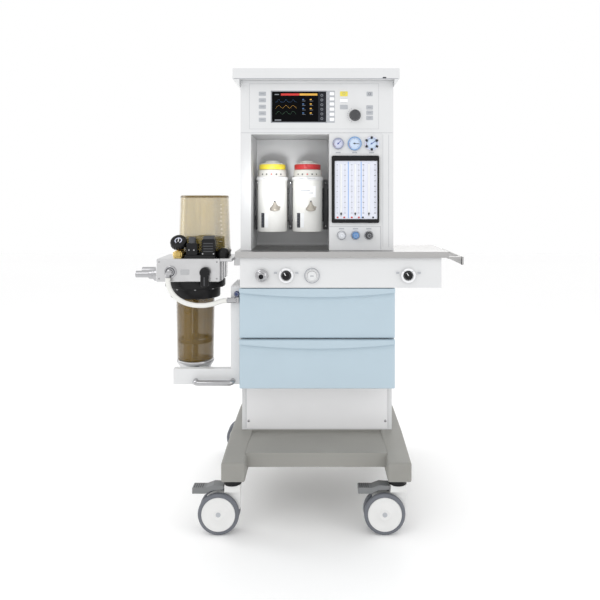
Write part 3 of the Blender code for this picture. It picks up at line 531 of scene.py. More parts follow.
# ---- monitor ----
def make_screen():
    low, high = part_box("display_screen")
    y = low.y

    def spot(across, down):
        return low.x + across * (high.x - low.x), high.z - down * (high.z - low.z)

    def block(x0, x1, d0, d1, look, radius=0.0006):
        (left, top), (right, bottom) = spot(x0, d0), spot(x1, d1)
        show.plate((left, right), (bottom, top), y, 0.0003, look, radius, 0.0001)

    show = Piece("screen_picture")
    block(0.165, 0.505, 0.055, 0.125, "glow_red")
    block(0.51, 0.84, 0.055, 0.125, "glow_yellow")
    block(0.05, 0.13, 0.075, 0.105, "glow_grey")
    for row, look in ((0.3, "glow_blue"), (0.5, "glow_yellow"), (0.7, "glow_green")):
        wave = []
        for k in range(61):
            t = k / 60
            beat = abs(sin(3 * pi * t)) ** (6 if row < 0.4 else 2)
            wave.append(spot(0.06 + 0.4 * t, row + 0.045 - 0.09 * beat))
        show.stroke(wave, 0.0004, y, look)
    for row in range(4):
        for column in range(2):
            across, down = 0.56 + 0.14 * column, 0.24 + 0.15 * row
            block(across, across + 0.035, down, down + 0.035, ("glow_blue", "glow_yellow")[column])
            block(across, across + 0.06, down + 0.062, down + 0.072, "glow_grey")
    block(0.05, 0.17, 0.925, 0.96, "glow_grey")
    block(0.856, 0.99, 0.02, 0.98, "menu_grey")
    for k in range(6):
        x, z = spot(0.923, 0.12 + 0.155 * k)
        show.band(0.0028, 0.0042, 0.0005, (x, y - 0.0002, z), "glow_grey")
    show.done("chassis", "screen_glass")


def make_keys():
    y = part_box("monitor_fascia")[0].y
    keys = Piece("membrane_keys")
    frame_line = [(-0.154, 1.242), (0.269, 1.242), (0.269, 1.39), (-0.154, 1.39)]
    for a, b in zip(frame_line, frame_line[1:] + frame_line[:1]):
        keys.stroke([a, b], 0.0007, y, "seam_grey", 0.0002)
    bottom, top = 1.2622, 1.3672
    for x_span, z_span in (((-0.0835, 0.1001), (bottom, 1.2651)), ((-0.0835, 0.1001), (1.3643, top)),
                           ((-0.0838, -0.0808), (bottom, top))):
        keys.plate(x_span, z_span, y, 0.0006, "ink_grey", 0.0004)
    keys.plate((0.0974, 0.1256), (bottom, top), y, 0.0004, "key_grey", 0.001)
    for k in range(6):
        z = 1.3572 - 0.0168 * k
        keys.plate((0.1085, 0.1238), (z - 0.0054, z + 0.0054), y - 0.0004, 0.0008, "label_white", 0.003)
        keys.stroke([(0.1005, z + 0.003), (0.106, z), (0.1005, z - 0.003)], 0.0009, y - 0.0004,
                    "ink_grey")
    for k in range(5):
        z = 1.3572 - 0.0213 * k
        keys.plate((-0.1232, -0.0998), (z - 0.0066, z + 0.0066), y, 0.0008, "key_grey", 0.0018)
        keys.plate((-0.118, -0.105), (z - 0.001, z + 0.001), y - 0.0008, 0.0003, "ink_grey", 0.0004)
    column = (0.1425, 0.1678)
    keys.plate(column, (1.349, 1.365), y, 0.0008, "key_yellow", 0.0018)
    keys.band(0.0036, 0.0046, 0.0004, (0.1551, y - 0.0007, 1.357), "ink_grey")
    keys.plate(column, (1.3285, 1.3415), y, 0.0008, "label_white", 0.0018)
    for z in (1.3285, 1.3415):
        keys.stroke([(0.144, z), (0.1663, z)], 0.0007, y - 0.0006, "ink_grey")
    keys.plate(column, (1.3065, 1.321), y, 0.0008, "key_grey", 0.0018)
    keys.plate((0.2295, 0.2495), (1.349, 1.364), y, 0.0008, "key_grey", 0.002)
    keys.band(0.0032, 0.0042, 0.0004, (0.2395, y - 0.0007, 1.3565), "ink_dark")
    for k in range(3):
        z = 1.3125 - 0.0172 * k
        keys.plate((0.2285, 0.2505), (z - 0.0068, z + 0.0068), y, 0.0008, "key_grey", 0.0018)
        keys.plate((0.234, 0.245), (z - 0.001, z + 0.001), y - 0.0008, 0.0003, "ink_grey", 0.0004)
    knob = middle("encoder_knob")
    for k in range(9):
        angle = radians(120 + 15 * k)
        ends = [(knob.x + reach * cos(angle), knob.z + reach * sin(angle)) for reach in (0.0225, 0.0262)]
        keys.stroke(ends, 0.001, y, "ink_grey")
    keys.done("chassis", "housing_white")
    grip = Piece("encoder_knob_grip")
    at = (knob.x, y, knob.z)
    grip.turned([
        (0, 15), (8, 15.2), (12.8, 16.6), (14.6, 17), (16, 16), (17, 12), (17.8, 6), (19, 3), (19, 0.4),
        (0, 0.4)
    ], at, "dark_grey_plastic", FRONT, 96, flutes=32, depth=0.0005, skip=0.015)
    grip.turned([(0, 15.4), (1.6, 15.4), (2.2, 14.8), (0, 14.6)],
                (knob.x + 0.0085, y, knob.z + 0.005), "ink_grey", FRONT, 16)
    grip.done("encoder_knob", "dark_grey_plastic", "encoder_knob")


# ---- gauges and flowmeter ----
def make_gauge(tag, rim_look, face_look, needle_deg, needle_look, lobes=0):
    low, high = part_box(f"gauge_{tag}")
    x, z, y, radius = (low.x + high.x) / 2, (low.z + high.z) / 2, high.y + SUNK, (high.x - low.x) / 2
    at, inner = (x, y, z), radius - 0.0034
    made = Piece(f"gauge_{tag}_dial")
    made.lathe([
        (inner, 0.003), (inner, 0.0062), (inner + 0.0006, 0.0075), (radius - 0.001, 0.0075),
        (radius, 0.0062), (radius, 0.0004), (inner, 0.0004)
    ], at, rim_look, FRONT, 64, loop=True)
    made.lathe([(0, 0.003), (inner + 0.0003, 0.003), (inner + 0.0003, 0.0006), (0, 0.0006)],
               at, face_look, FRONT, 64)
    for k in range(lobes):
        angle = tau * (k + 0.5) / lobes
        spot = (x + (inner + 0.0002) * cos(angle), y, z + (inner + 0.0002) * sin(angle))
        made.turned([(0, 8), (3.6, 8), (4.3, 7.2), (4.3, 3.1), (0, 3.1)], spot, "gauge_black", FRONT, 20)

    def ray(degrees, start, end, width, look, lift):
        turn = radians(degrees)
        ends = [(x + inner * r * cos(turn), z + inner * r * sin(turn)) for r in (start, end)]
        made.stroke(ends, width, y - 0.003 - lift, look)

    for k in range(21):
        long = k % 5 == 0
        ray(225 - 13.5 * k, 0.72 if long else 0.8, 0.9, 0.0006 if long else 0.0004, "ink_dark", 0)
    for k in range(12):
        ray(225 - 4.5 * k, 0.925, 0.975, 0.0016, "ink_red", 0)
    ray(needle_deg, -0.28, 0.78, 0.0015, needle_look, 0.0008)
    made.turned([(0, 5), (1.6, 5), (2.4, 4.2), (2.4, 3), (0, 3)], at, needle_look, FRONT, 24)
    slot = rim_look if rim_look in ("gauge_grey", "gauge_blue") else "gauge_black"
    made.done("chassis", slot, f"gauge_{tag}")


def make_flowmeter():
    low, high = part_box("flowmeter_block")
    y, width = low.y, high.x - low.x
    window = Piece("flowmeter_window")
    window.plate((low.x, high.x), (low.z, high.z), high.y, 0.0066, "flow_panel_clear", 0.002, 0.0004)
    for share in (0.15, 0.48, 0.8):
        centre = low.x + width * share
        window.sweep([(centre, y + 0.0016, low.z + 0.01), (centre, y + 0.0016, high.z - 0.01)],
                     circle(0.004, 14), "sight_glass", up=(1, 0, 0))
        window.turned([(0, 5.2), (2.6, 4.6), (3.2, 3), (1.2, -4), (0, -5)],
                      (centre, y - 0.0024, low.z + 0.0165), "ink_dark", UP, 20)
    for share in (0.32, 0.62):
        x = low.x + width * share
        window.stroke([(x, low.z + 0.003), (x, high.z - 0.003)], 0.0026, y + 0.0004, "ink_blue")
    print_y = y + 0.0004
    for share, look, reach in (
            (0.06, "ink_grey", 0.0042), (0.24, "ink_grey", 0.0056), (0.4, "ink_grey", 0.0056),
            (0.56, "ink_grey", 0.0056), (0.672, "ink_dark", 0.0052), (0.945, "ink_dark", 0.006)):
        x = low.x + width * share
        for tick in range(46):
            z = low.z + 0.02 + 0.0035 * tick
            half, thick = (reach / 2, 0.0016) if tick % 5 == 0 else (reach / 4, 0.0006)
            window.stroke([(x - half, z), (x + half, z)], thick, print_y, look)
    for share, look in ((0.07, "ink_red"), (0.225, "ink_red"), (0.4, "ink_red"), (0.565, "ink_red"),
                        (0.66, "ink_dark"), (0.9, "ink_dark")):
        x = low.x + width * share
        window.plate((x - 0.003, x + 0.003), (low.z + 0.0028, low.z + 0.0085), print_y, 0.0004, look,
                     0.0014)
    window.done("chassis", "flow_panel_clear", "flowmeter_block")
    for tag, look in (("left", "knob_clear"), ("middle", "knob_blue"), ("right", "dark_grey_plastic")):
        at = seat_of(f"flow_knob_{tag}")
        knob = Piece(f"flow_knob_{tag}_grip")
        knob.turned([
            (0, 23.8), (7.4, 24), (9.4, 23.2), (10.6, 21.2), (11.2, 12), (11.8, 6), (12.9, 3.6),
            (12.9, 0.4), (0, 0.4)
        ], at, look, FRONT, 72, flutes=12, depth=0.0011, skip=0.009)
        knob.turned([(4.6, 23.8), (5.8, 23.8), (5.6, 24.3), (4.8, 24.3)],
                    at, "key_grey", FRONT, 32, loop=True)
        knob.done(f"flow_knob_{tag}", look, f"flow_knob_{tag}")
    marks = Piece("flow_panel_marks")
    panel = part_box("instrument_panel")[0].y
    for tag in ("left", "middle", "right"):
        spot = middle(f"flow_knob_{tag}")
        marks.turned([(13.8, 0), (15.2, 0), (15, 0.5), (14, 0.5)],
                     (spot.x, panel, spot.z), "ink_grey", FRONT, 48, loop=True)
        marks.plate((spot.x - 0.0085, spot.x + 0.0085), (spot.z + 0.0195, spot.z + 0.0235), panel, 0.0004,
                    "key_grey", 0.0008)
    for tag in ("left", "middle", "right"):
        spot = middle(f"gauge_{tag}")
        marks.plate((spot.x - 0.008, spot.x + 0.008), (spot.z - 0.0315, spot.z - 0.0275), panel, 0.0004,
                    "key_grey", 0.0008)
    low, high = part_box("instrument_panel")
    seam, side = 0.9226, high.x - 0.0012
    marks.stroke([(low.x + 0.001, seam), (high.x - 0.001, seam)], 0.0012, panel, "seam_grey")
    marks.stroke([(side, low.z + 0.002), (side, seam)], 0.001, panel, "seam_grey")
    marks.done("chassis", "housing_white")


# ---- vaporizers ----
def make_vaporizer(tag, dial_look):
    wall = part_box(f"vaporizer_{tag}_body")[1].y
    dial_low, dial_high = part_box(f"vaporizer_{tag}_dial")
    x, y = (dial_low.x + dial_high.x) / 2, (dial_low.y + dial_high.y) / 2
    body = Piece(f"vaporizer_{tag}_shell")
    body.turned([
        (0, 1075.8), (49.8, 1075.8), (50.5, 1073.5), (50.5, 905.5), (49.6, 903.4), (47, 902.3), (0, 902.3)
    ], (x, y, 0), "vaporizer_cream", UP, 72)
    body.turned([
        (0, 1088), (51, 1088), (53, 1086.6), (53.5, 1085), (53.5, 1077.6), (53, 1076.2), (50, 1075.6),
        (0, 1075.6)
    ], (x, y, 0), "housing_white", UP, 72)
    body.turned([(0, 1111), (44, 1111.2), (46.2, 1110.4), (47, 1108.5), (48, 1088.4), (0, 1087.8)],
                (x, y, 0), "head_grey", UP, 72)
    fx = x + 0.012
    lean = Matrix.Rotation(radians(16), 4, "X")
    body.turned([
        (0, 25), (3.4, 24.8), (4.8, 22.6), (5.2, 18), (8.4, 13), (14, 7), (16.4, 3), (16.8, 0), (16, -2),
        (0, -2)
    ], (fx, y - 0.0545, 0.979), "filler_beige", lean, 40)
    body.turned([(0, 29), (2.2, 28.8), (2.6, 27.6), (2.6, 24), (0, 24)],
                (fx, y - 0.0545, 0.979), "ink_dark", lean, 20)
    body.sweep([(fx + 0.008, y - 0.0585, 0.987), (fx + 0.0185, y - 0.06, 0.985)], circle(0.0026, 12),
               "filler_beige", up=(0, 0, 1))

    def patch(angle0, angle1, z0, z1, radius, look, steps=10):
        """A thin curved plate on the shell; angles in degrees from the front, positive to the right."""
        rings = []
        for z, lift in ((z0, -0.0006), (z0 + 0.0005, 0.0004), (z1 - 0.0005, 0.0004), (z1, -0.0006)):
            outer, inside = [], []
            for k in range(steps + 1):
                angle = radians(angle0 + (angle1 - angle0) * k / steps)
                outer.append((x + (radius + lift) * sin(angle), y - (radius + lift) * cos(angle), z))
                inside.append((x + (radius - 0.0015) * sin(angle), y - (radius - 0.0015) * cos(angle), z))
            rings.append(outer + inside[::-1])
        body.rings(rings, look)

    patch(-34, 34, 1.018, 1.056, 0.0505, "label_white")
    patch(-26, 10, 1.04, 1.044, 0.0509, "ink_grey")
    patch(-26, 22, 1.031, 1.034, 0.0509, "ink_grey")
    patch(-46, -9, 0.914, 0.969, 0.0505, "vaporizer_cream")
    patch(-42, -28, 0.917, 0.966, 0.0512, "ink_dark", 4)
    patch(-26, -12, 0.917, 0.966, 0.0514, "sight_glass", 4)
    for k in range(9):
        patch(-42, -34, 0.92 + 0.005 * k, 0.9212 + 0.005 * k, 0.0518, "ink_grey", 2)
    for k in range(5):
        ink = "ink_red" if k == 2 else "ink_dark"
        patch(-40 + 20 * k - 3, -40 + 20 * k + 3, 1.093, 1.098, 0.0476, ink, 2)
    patch(-30, 30, 1.08, 1.0828, 0.0536, "seam_grey")
    trimmed = body.done(None, "vaporizer_cream", f"vaporizer_{tag}_body")
    shape = bmesh.new()
    shape.from_mesh(trimmed.data)
    cut = bmesh.ops.bisect_plane(shape, geom=shape.verts[:] + shape.edges[:] + shape.faces[:],
                                 plane_co=(0, wall, 0), plane_no=(0, 1, 0), clear_outer=True)
    rim = [part for part in cut["geom_cut"] if isinstance(part, bmesh.types.BMEdge)]
    bmesh.ops.contextual_create(shape, geom=rim)
    shape.to_mesh(trimmed.data)
    shape.free()
    trimmed.data.set_sharp_from_angle(angle=radians(32))
    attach(trimmed, "chassis")

    dial = Piece(f"vaporizer_{tag}_dial_ring")
    place = (x, y, 0)
    dial.turned([
        (0, 1130), (40, 1130), (43.6, 1129), (44.5, 1127.6), (44.5, 1115), (43.6, 1112), (0, 1112)
    ], place, dial_look, UP, 144, flutes=36, depth=0.0009, skip=0.043)
    dial.turned([
        (0, 1136.2), (16.5, 1136), (32, 1134.8), (39, 1132.8), (40.8, 1130.2), (40.8, 1128.5), (0, 1128.5)
    ], place, "head_grey", UP, 64)
    dial.turned([(0, 1142), (18, 1141.6), (22.4, 1140.4), (23.8, 1138.4), (24.2, 1134.5), (0, 1134)],
                place, "head_grey", UP, 64)
    dial.turned([(0, 1142.8), (6, 1142.8), (7.4, 1142.2), (7.8, 1140.8), (0, 1140.5)],
                place, "ink_grey", UP, 32)
    for k in range(12):
        angle = radians(-150 + 25 * k)
        c, s = cos(angle), sin(angle)
        tick = [(x + r * s, y - r * c, 1.1347 - (r - 0.03) * 0.16) for r in (0.0305, 0.036)]
        dial.sweep(tick, strip(0.0005, -0.0004, 0.0003), "ink_dark", up=(0, 0, 1))
    dial.done(f"vaporizer_{tag}_dial", dial_look, f"vaporizer_{tag}_dial")


def make_upper_details():
    low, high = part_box("upper_cabinet")
    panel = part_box("instrument_panel")
    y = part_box("monitor_fascia")[0].y
    seams = Piece("housing_seams")
    for x in (panel[1].x + 0.006, panel[1].x + 0.025):
        seams.stroke([(x, 0.856), (x, 1.224)], 0.0009, low.y, "seam_grey")
    seams.stroke([(low.x + 0.002, 1.2295), (high.x - 0.002, 1.2295)], 0.001, y, "seam_grey")
    bay = (-0.1489, 0.1065)
    seams.stroke([(bay[0] + 0.002, 0.853), (bay[1] - 0.002, 0.853)], 0.0022, 0.0449, "label_white")
    seams.done("chassis", "housing_white")
    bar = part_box("vaporizer_back_bar")
    # The dark grey plates at both ends of the back bar and between the vaporizers are painted shadow:
    # dark plates, dressed with screws, that stand where soft shade falls in the bay beside the
    # vaporizers.
    shadow_plates_and_bars = Piece("vaporizer_mounts")
    centre = (middle("vaporizer_left_dial").x, middle("vaporizer_right_dial").x)
    edges = (bar[0].x + 0.001, (centre[0] + centre[1]) / 2, bar[1].x - 0.001)
    for x, half in zip(edges, (0.008, 0.0055, 0.008)):
        inward = (half if x < 0 else -half) if x != edges[1] else 0
        shadow_plates_and_bars.plate((x + inward - half, x + inward + half), (0.906, 1.08), bar[0].y + 0.001, 0.004,
                     "dark_grey_plastic", 0.003, 0.001)
        for z in (0.918, 1.068):
            screw(shadow_plates_and_bars, x + inward, z, bar[0].y - 0.003, 0.0028)
    for k in range(5):
        z = 0.934 + 0.024 * k
        shadow_plates_and_bars.plate((bar[0].x + 0.004, bar[1].x - 0.004), (z, z + 0.003), bar[0].y, 0.0012,
                     "black_plastic", 0.001)
    shadow_plates_and_bars.done("chassis", "dark_grey_plastic")
    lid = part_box("top_lid")
    lamp = Piece("lid_lamp_and_shadow_line")
    lamp.plate((0.279, 0.291), (1.402, 1.4062), lid[0].y, 0.0008, "ink_dark", 0.0021, 0.0002)
    # The grey line along the lid's lower front edge is a painted shadow line under the lid's overhang.
    lamp.stroke([(lid[0].x + 0.004, 1.4016), (lid[1].x - 0.004, 1.4016)], 0.0014, lid[0].y, "ink_grey",
                0.0002)
    lamp.done("chassis", "housing_white")
    rear = Piece("rear_upper_cover")
    spot = ((low.x + high.x) / 2, high.y, 0)
    rear.plate((-0.205, 0.205), (0.9, 1.34), 0, 0.0022, "housing_white", 0.012, 0.0008, ABOUT, spot)
    rear_slots(rear, ((-0.11, 0.11),), 1.12, 14, 0.0055, spot)
    rear_screws(rear, 0.194, (0.912, 1.12, 1.328), spot)
    rear.plate((-0.15, 0.15), (0.77, 0.84), 0, 0.002, "cabinet_white", 0.008, 0.0008, ABOUT, spot)
    for k, look in enumerate(("label_white", "connector_blue", "ink_dark")):
        at = (spot[0] + 0.085 - 0.085 * k, high.y, 0.805)
        rear.turned([
            (0, 19), (7, 19), (7.8, 18.2), (7.8, 12), (11, 11), (11, 4), (14, 3.6), (14, 1.5), (0, 1.5)
        ], at, "chrome", BACK, 32)
        rear.turned([(14.6, 1.5), (17.6, 1.5), (17.4, 2.6), (14.8, 2.6)], at, look, BACK, 40, loop=True)
    rear.done("chassis", "housing_white")
    rail = Piece("rail_end_caps")
    rail_low, rail_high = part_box("side_rail")
    for end in (rail_low.y + 0.0045, rail_high.y - 0.0045):
        rail.rings([[(rail_high.x - 0.0064 + dx, end + s * 0.0042, 0.8148 + dz) for dx,
                     dz in ((0, -0.0128), (0.0062, -0.012), (0.0062, 0.012),
                            (0, 0.0128))] for s in (-1, 1)], "black_plastic")
    rail.done("chassis", "stainless")


# ---- breathing system ----
def make_bellows_group():
    centre = middle("bellows_dome")
    x, y = centre.x, centre.y
    base_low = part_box("bellows_base")[0]
    ring = Piece("bellows_base_ring")
    ring.lathe([
        (0, 0.8399), (0.0815, 0.8399), (0.0881, 0.8396), (0.0897, 0.8382), (0.0897, 0.8335),
        (0.0881, 0.8325), (0.0881, 0.8225), (0.0893, 0.8215), (0.0893, base_low.z), (0, base_low.z)
    ], (x, y, 0), "black_plastic", UP, 96)
    ring.done("chassis", "black_plastic", "bellows_base")
    dome = Piece("clear_dome")
    dome.turned([
        (0, 1023.8), (67, 1024), (74, 1025.1), (78.5, 1024.6), (80.8, 1022.8), (81.6, 1019.5),
        (87.6, 846.8), (89.5, 845.2), (89.5, 840.4), (85, 840.4), (79.1, 1018), (77.5, 1020.8),
        (74, 1021.6), (0, 1021.4)
    ], (x, y, 0), "amber_clear", UP, 96)
    dome.turned([(78, 1024.6), (80.6, 1023.6), (82.2, 1020.6), (82.4, 1017.6), (81.6, 1017.2)],
                (x, y, 0), "canister_amber", UP, 96, loop=True)
    for k in range(10):
        z, side = 0.872 + 0.0135 * k, radians(38)
        radius = 0.0876 - (z - 0.8468) * 0.0347 + 0.0002
        tick = [(x + radius * cos(side + t), y - radius * sin(side + t), z)
                for t in ((0, 0.07, 0.14) if k % 5 == 0 else (0, 0.04, 0.08))]
        dome.sweep(tick, strip(0.0004, -0.0003, 0.0003), "label_white", up=(cos(side), -sin(side), 0))
    dome.done("chassis", "amber_clear", "bellows_dome")
    low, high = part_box("bellows")
    folds, steps = 7, 96
    pitch = (high.z - low.z - 0.001) / folds
    profile = [(0, high.z - 0.0002), (0.06, high.z - 0.0002)]
    for fold in range(folds):
        crest = high.z - 0.0005 - fold * pitch
        profile += [
            (0.0615, crest), (0.0676, crest - pitch * 0.3), (0.069, crest - pitch * 0.5),
            (0.0676, crest - pitch * 0.7)
        ]
    profile += [(0.0615, low.z + 0.0004), (0.06, low.z + 0.0002), (0, low.z + 0.0002)]
    tube = Piece("pleated_bellows")
    tube.lathe(profile, (x, y, 0), "bellows_black", UP, steps)
    made = tube.done(None, "bellows_black", "bellows", sharp=60)
    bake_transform(made)
    z0, z1 = (corner.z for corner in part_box("bellows_plate"))
    cap = Piece("bellows_top_plate")
    cap.lathe([
        (0, z1), (0.018, z1), (0.0205, z1 - 0.0008), (0.0225, z1 - 0.0038), (0.04, z1 - 0.0048),
        (0.062, z1 - 0.0056), (0.0662, z1 - 0.0068), (0.067, z1 - 0.0085), (0.0668, z0 + 0.0004), (0, z0)
    ], (x, y, 0), "dark_grey_plastic", UP, 72)
    cap.lathe([(0.03, z1 - 0.0044), (0.0316, z1 - 0.0034), (0.0334, z1 - 0.0034), (0.035, z1 - 0.0046)],
              (x, y, 0), "black_plastic", UP, 72, loop=True)
    cap.done("bellows_plate", "dark_grey_plastic", "bellows_plate")


def make_block():
    low, high = Vector((-0.4522, -0.19, 0.7457)), Vector((-0.2458, -0.02, 0.82))
    block = Piece("absorber_body")
    block.plate((low.x, high.x), (low.z, high.z), high.y, high.y - low.y, "block_metal", 0.005, 0.0016)
    for k in range(3):
        y, bottom = low.y + 0.01 + 0.052 * k, low.z + 0.001
        steps = []
        for lift, cut in ((-0.001, 0), (0.001, 0), (0.0018, 0.002)):
            far = 0.04 - 2 * cut
            steps.append([(high.x + lift, y + dy + cut, bottom + dz) for dy,
                          dz in ((0, 0), (far, 0), (far, 0.072), (0, 0.072))])
        block.rings(steps, "chrome")
    block.plate((high.x - 0.003, -0.2075), (0.8105, high.z), high.y, high.y - low.y - 0.005,
                "block_metal", 0.002, 0.001)
    block.plate((-0.2105, -0.1796), (0.79, 0.8195), -0.03, 0.08, "block_metal", 0.002, 0.001)
    block.plate((low.x + 0.079, low.x + 0.108), (0.768, 0.786), low.y, 0.0004, "block_plate", 0.003)
    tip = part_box("absorber_block")[0].x
    for y, length in ((-0.15, 0.0753), (-0.04, low.x - tip)):
        block.lathe([
            (0.0085, length - 0.0006), (0.0106, length), (0.0112, length - 0.0008),
            (0.0115, length * 0.5), (0.012, length * 0.44), (0.0156, length * 0.42),
            (0.0162, length * 0.38), (0.0162, length * 0.26), (0.0176, length * 0.24),
            (0.0176, length * 0.19), (0.022, length * 0.18), (0.0225, length * 0.16), (0.0225, 0.001),
            (0.0085, 0.001)
        ], (low.x, y, 0.766), "chrome", LEFT, 56, loop=True)
        # The dark plug down each port's bore is painted shade: a dark disc where only the shade inside
        # the port falls.
        block.turned([(0, 30), (8.4, 30), (8.4, 12), (0, 12)], (low.x, y, 0.766), "ink_dark", LEFT, 24)
    at = (-0.405, low.y, 0.778)
    block.turned([
        (0, 26), (6, 25.7), (8.4, 24.4), (9.5, 22), (9.5, 7.5), (16, 6.8), (19, 5.8), (19.5, 4.4),
        (19.5, 0.4), (0, 0.4)
    ], at, "chrome", FRONT, 56)
    block.turned([(12, 7.2), (15, 7.2), (14.8, 8), (12.2, 8)], at, "ink_dark", FRONT, 48, loop=True)
    block.turned([(0, 16.6), (7, 16.6), (7, 3), (8.2, 2.4), (8.2, 0.6), (6.4, 0.1), (0, 0.1)],
                 (-0.4095, -0.2075, 0.7614), "chrome", UP, 40)
    for x in (low.x + 0.01, high.x - 0.01):
        for z in (low.z + 0.01, high.z - 0.01):
            screw(block, x, z, low.y, 0.0028)
    block.done("chassis", "block_metal", "absorber_block")


def make_valves():
    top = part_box("apl_valve_body")[0].z
    x, y = -0.384, -0.158
    apl = Piece("apl_valve_seat")
    tilt = Matrix.Rotation(radians(45), 4, "X")
    apl.lathe([
        (0, 0.8438), (0.0128, 0.844), (0.0158, 0.8426), (0.0162, 0.84), (0.02, 0.8392), (0.0206, 0.8378),
        (0.0206, 0.8262), (0.0192, 0.825), (0.0192, top), (0, top)
    ], (x, y, 0), "brass", UP, 96, flutes=24, depth=0.0008, skip=0.0195)
    apl.turned([(0, 0), (12, 0), (12, -26), (0, -26)], (x, y, 0.864), "brass", tilt, 40)
    apl.done("chassis", "brass", "apl_valve_body")
    seat = (x, y, 0.864)
    knob = Piece("apl_valve_grip")
    knob.turned([
        (0, 19.6), (15, 19.6), (15.8, 20.6), (20.8, 21), (25.2, 18.8), (27.2, 15.5), (27.6, 12),
        (27.6, 3.4), (26.6, 1.6), (23.5, 0.4), (0, 0.4)
    ], seat, "black_plastic", tilt, 120, flutes=20, depth=0.0013, skip=0.0262)
    face_up = tilt @ Vector((0, 0, 1))

    def on_face(reach, degrees, lift):
        angle = radians(degrees)
        return tilt @ Vector((reach * sin(angle), reach * cos(angle), lift)) + Vector(seat)

    # The lavender arc on the knob's face is a painted highlight: a pale curve of colour that stands for
    # light caught on the face.
    rim = [on_face(0.0104, -150 + 15 * k, 0.0199) for k in range(21)]
    knob.sweep(rim, strip(0.0013, -0.0003, 0.0003), "face_lavender", up=face_up)
    line = [on_face(reach, 0, 0.0201) for reach in (-0.006, 0.0085)]
    knob.sweep(line, strip(0.0012, -0.0004, 0.0004), "label_white", up=face_up)
    for k in range(11):
        start = 0.0122 if k % 5 == 0 else 0.013
        tick = [on_face(reach, -150 + 30 * k, 0.0203) for reach in (start, 0.0146)]
        knob.sweep(tick, strip(0.0004, -0.0002, 0.0002), "ink_grey", up=face_up)
    knob.done("apl_valve_knob", "black_plastic", "apl_valve_knob")
    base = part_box("valve_manifold")[0].z
    manifold = Piece("valve_blocks")
    for x_span, z_span, back, deep, radius, edge in (
            ((-0.36, -0.2615), (base, 0.831), -0.16, 0.028, 0.002, 0.0012),
            ((-0.3555, -0.32), (0.83, 0.87), -0.161, 0.026, 0.005, 0.002),
            ((-0.3056, -0.2626), (0.83, 0.883), -0.161, 0.026, 0.004, 0.0018)):
        manifold.plate(x_span, z_span, back, deep, "black_plastic", radius, edge)
    manifold.plate((-0.301, -0.267), (0.882, 0.894), -0.162, 0.024, "dark_grey_plastic", 0.003, 0.0015)
    for k in range(4):
        z = 0.842 + 0.0085 * k
        manifold.plate((-0.3, -0.2682), (z, z + 0.003), -0.187, 0.0009, "dark_grey_plastic", 0.0012)
    manifold.turned([
        (0, 890), (8.6, 890), (11, 888.8), (12, 887), (12, 869), (0, 869)
    ], (-0.338, -0.174, 0), "dark_grey_plastic", UP, 64, flutes=16, depth=0.0006, skip=0.0115)
    for x, z in ((-0.346, 0.848), (-0.33, 0.848), (-0.302, 0.836), (-0.2668, 0.836)):
        manifold.turned([(0, 0.2), (1.8, 0.2), (2.6, 1), (2.2, 1.8), (0, 2)],
                        (x, -0.187, z), "chrome", FRONT, 20)
    manifold.done("chassis", "black_plastic", "valve_manifold")
    valve = Piece("expiratory_valve_cap")
    valve.lathe([
        (0, 0.853), (0.0056, 0.8526), (0.0112, 0.8508), (0.016, 0.847), (0.019, 0.842), (0.0196, 0.8398),
        (0.0205, 0.8386), (0.0205, 0.826), (0.0194, 0.8248), (0.0194, base), (0, base)
    ], (-0.24, -0.158, 0), "black_plastic", UP, 72)
    valve.done("chassis", "black_plastic", "expiratory_valve")
    low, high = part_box("bag_vent_lever")
    x, y, z = (low.x + high.x) / 2, high.y + SUNK, 0.777
    lever = Piece("bag_vent_grip")
    lever.turned([
        (0, 21.8), (11, 22), (14, 20.8), (16, 18), (16.6, 12), (17.1, 6), (17.1, 0.4), (0, 0.4)
    ], (x, y, z), "black_plastic", FRONT, 56)
    lever.plate((x - 0.013, x + 0.013), (0.729, z + 0.002), y - 0.01, 0.0104, "black_plastic", 0.011,
                0.0024)
    lever.stroke([(x, 0.735), (x, 0.764)], 0.004, y - 0.0202, "dark_grey_plastic", 0.0006)
    lever.done("bag_vent_lever", "black_plastic", "bag_vent_lever")


